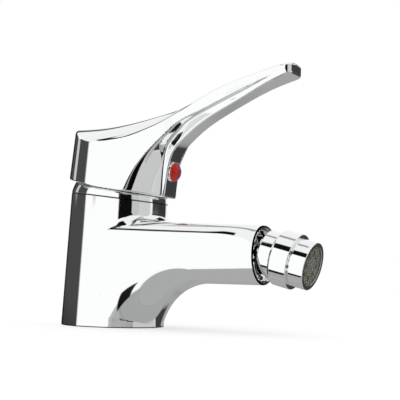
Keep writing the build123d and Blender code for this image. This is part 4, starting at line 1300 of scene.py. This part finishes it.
class MixerColours(bpy.types.PropertyGroup):
    """Colours and gloss of the finishes."""

    chrome: colour_property("Chrome", "Plated brass and its trim", (0.87, 0.875, 0.88))
    plug_chrome: colour_property("Plug ring", "Plated plastic round the index", (0.74, 0.745, 0.75))
    red_enamel: colour_property("Hot half", "The side that marks hot water", (0.66, 0.012, 0.004))
    blue_enamel: colour_property("Cold half", "The side that marks cold water", (0.05, 0.11, 0.36))
    brass: colour_property("Brass", "Bare turned brass", (0.75, 0.6, 0.3))
    stainless: colour_property("Stainless", "Bare turned steel", (0.6, 0.6, 0.6))
    wire_mesh: colour_property("Wire", "The aerator's woven mesh", (0.3, 0.3, 0.25))
    black_rubber: colour_property("Rubber", "Seals and washers", (0.03, 0.03, 0.03))
    disc_ceramic: colour_property("Ceramic", "The cartridge's discs", (0.85, 0.84, 0.8))
    cartridge_plastic: colour_property("Cartridge", "The cartridge's plastic", (0.8, 0.8, 0.78))
    nozzle_plastic: colour_property("Nozzle plastic", "Plastic inside the nozzle", (0.75, 0.75, 0.73))
    chrome_roughness: number_property("Chrome roughness", "How dull the plating is", 0.03, 0, 1)


class MixerStage(bpy.types.PropertyGroup):
    """Light and floor."""

    light_level: number_property("Light level", "Brightness of the white studio", 1.0, 0.1, 2)
    floor_radius: length_property("Floor radius", "How far the floor goes", 1.5, 0.3, 5)
    floor_colour: colour_property("Floor", "Plain pale floor", (0.62, 0.62, 0.62))
    floor_glow: number_property("Floor glow", "Light that only the camera sees on the floor", 0.5, 0, 1)


class MIXER_OT_body(bpy.types.Operator):
    """Rebuild the cast body with its spout"""

    bl_idname = "mixer.body"
    bl_label = "Body"

    def execute(self, context):
        step = context.scene.mixer_sizes.surface_step / MM
        take_place(build_body(step), "mixer_body", "body", "chrome")
        return {"FINISHED"}


class MIXER_OT_lever(bpy.types.Operator):
    """Rebuild the lever"""

    bl_idname = "mixer.lever"
    bl_label = "Lever"

    def execute(self, context):
        step = context.scene.mixer_sizes.surface_step / MM
        take_place(build_lever(step), "lever", "lever", "chrome")
        return {"FINISHED"}


class MIXER_OT_dome(bpy.types.Operator):
    """Rebuild the dome cover under the lever"""

    bl_idname = "mixer.dome"
    bl_label = "Dome cover"

    def execute(self, context):
        take_place(build_dome(context.scene.mixer_sizes.segments), "dome_cover", "body", "chrome")
        return {"FINISHED"}


class MIXER_OT_stem(bpy.types.Operator):
    """Rebuild the ball stem that carries the nozzle"""

    bl_idname = "mixer.stem"
    bl_label = "Ball stem"

    def execute(self, context):
        take_place(build_stem(context.scene.mixer_sizes.segments), "ball_stem", "body", "chrome")
        return {"FINISHED"}


class MIXER_OT_nozzle(bpy.types.Operator):
    """Rebuild the nozzle's three rings: the socket, the collar and the aerator's shell"""

    bl_idname = "mixer.nozzle"
    bl_label = "Nozzle rings"

    def execute(self, context):
        rings = build_nozzle(context.scene.mixer_sizes.segments)
        for piece, node in zip(rings, ("swivel_socket", "collar", "aerator_shell")):
            take_place(piece, node, "nozzle", "chrome")
        return {"FINISHED"}


class MIXER_OT_plug(bpy.types.Operator):
    """Rebuild the index plug and its red and blue halves"""

    bl_idname = "mixer.plug"
    bl_label = "Index plug"

    def execute(self, context):
        pieces = build_plug(context.scene.mixer_sizes.segments)
        nodes = ("index_plug", "index_red", "index_blue")
        slots = ("plug_chrome", "red_enamel", "blue_enamel")
        for piece, node, slot in zip(pieces, nodes, slots):
            take_place(piece, node, "lever", slot)
        return {"FINISHED"}


class MIXER_OT_mesh(bpy.types.Operator):
    """Weave the aerator's wire mesh"""

    bl_idname = "mixer.mesh"
    bl_label = "Woven mesh"

    def execute(self, context):
        sizes = context.scene.mixer_sizes
        piece = build_mesh(sizes.mesh_pitch, sizes.mesh_wire, finish("wire_mesh"))
        take_place(piece, "aerator_mesh", "nozzle", "wire_mesh")
        return {"FINISHED"}


class MIXER_OT_inner_pieces(bpy.types.Operator):
    """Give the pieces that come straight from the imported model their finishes"""

    bl_idname = "mixer.inner_pieces"
    bl_label = "Inner pieces"

    def execute(self, context):
        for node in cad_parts.values():
            for place in node.material_slots:
                slot = place.material.name.split(".")[0]
                if slot not in MixerColours.__annotations__:
                    raise RuntimeError("no finish for " + slot)
                place.material = finish(slot)
        return {"FINISHED"}


class MIXER_OT_stage(bpy.types.Operator):
    """Set up the camera, the studio light and the floor"""

    bl_idname = "mixer.stage"
    bl_label = "Stage"

    def execute(self, context):
        scene = context.scene
        given = scene.mixer_stage
        scene.view_settings.view_transform = "Standard"
        scene.world = studio_world(given.light_level)
        build_floor(given.floor_radius, tuple(given.floor_colour), given.floor_glow)
        place_camera()
        return {"FINISHED"}


class MIXER_PT_panel(bpy.types.Panel):
    """Sizes, colours and pieces of the bidet mixer"""

    bl_idname = "MIXER_PT_panel"
    bl_label = "Bidet mixer"
    bl_space_type = "VIEW_3D"
    bl_region_type = "UI"
    bl_category = "Bidet mixer"

    def draw(self, context):
        layout = self.layout
        for group in GROUPS:
            values = getattr(context.scene, group)
            box = layout.box()
            for name in values.__annotations__:
                box.prop(values, name)
        for operator in OPERATORS:
            layout.operator(operator.bl_idname)


GROUPS = {"mixer_sizes": MixerSizes, "mixer_colours": MixerColours, "mixer_stage": MixerStage}
OPERATORS = (
    MIXER_OT_body, MIXER_OT_lever, MIXER_OT_dome, MIXER_OT_stem, MIXER_OT_nozzle, MIXER_OT_plug,
    MIXER_OT_mesh, MIXER_OT_inner_pieces, MIXER_OT_stage,
)


def register():
    """Registers the classes and hangs the groups on the scene."""
    for made in (*GROUPS.values(), *OPERATORS, MIXER_PT_panel):
        bpy.utils.register_class(made)
    for name, group in GROUPS.items():
        setattr(bpy.types.Scene, name, bpy.props.PointerProperty(type=group))


def unregister():
    """Takes the groups and the classes away again."""
    for name in GROUPS:
        delattr(bpy.types.Scene, name)
    for made in (MIXER_PT_panel, *reversed(OPERATORS), *GROUPS.values()):
        bpy.utils.unregister_class(made)


def main():
    """Builds every piece and the stage."""
    register()
    bpy.ops.mixer.body()
    bpy.ops.mixer.lever()
    bpy.ops.mixer.dome()
    bpy.ops.mixer.stem()
    bpy.ops.mixer.nozzle()
    bpy.ops.mixer.plug()
    bpy.ops.mixer.mesh()
    bpy.ops.mixer.inner_pieces()
    bpy.ops.mixer.stage()


if __name__ == "__main__":
    main()
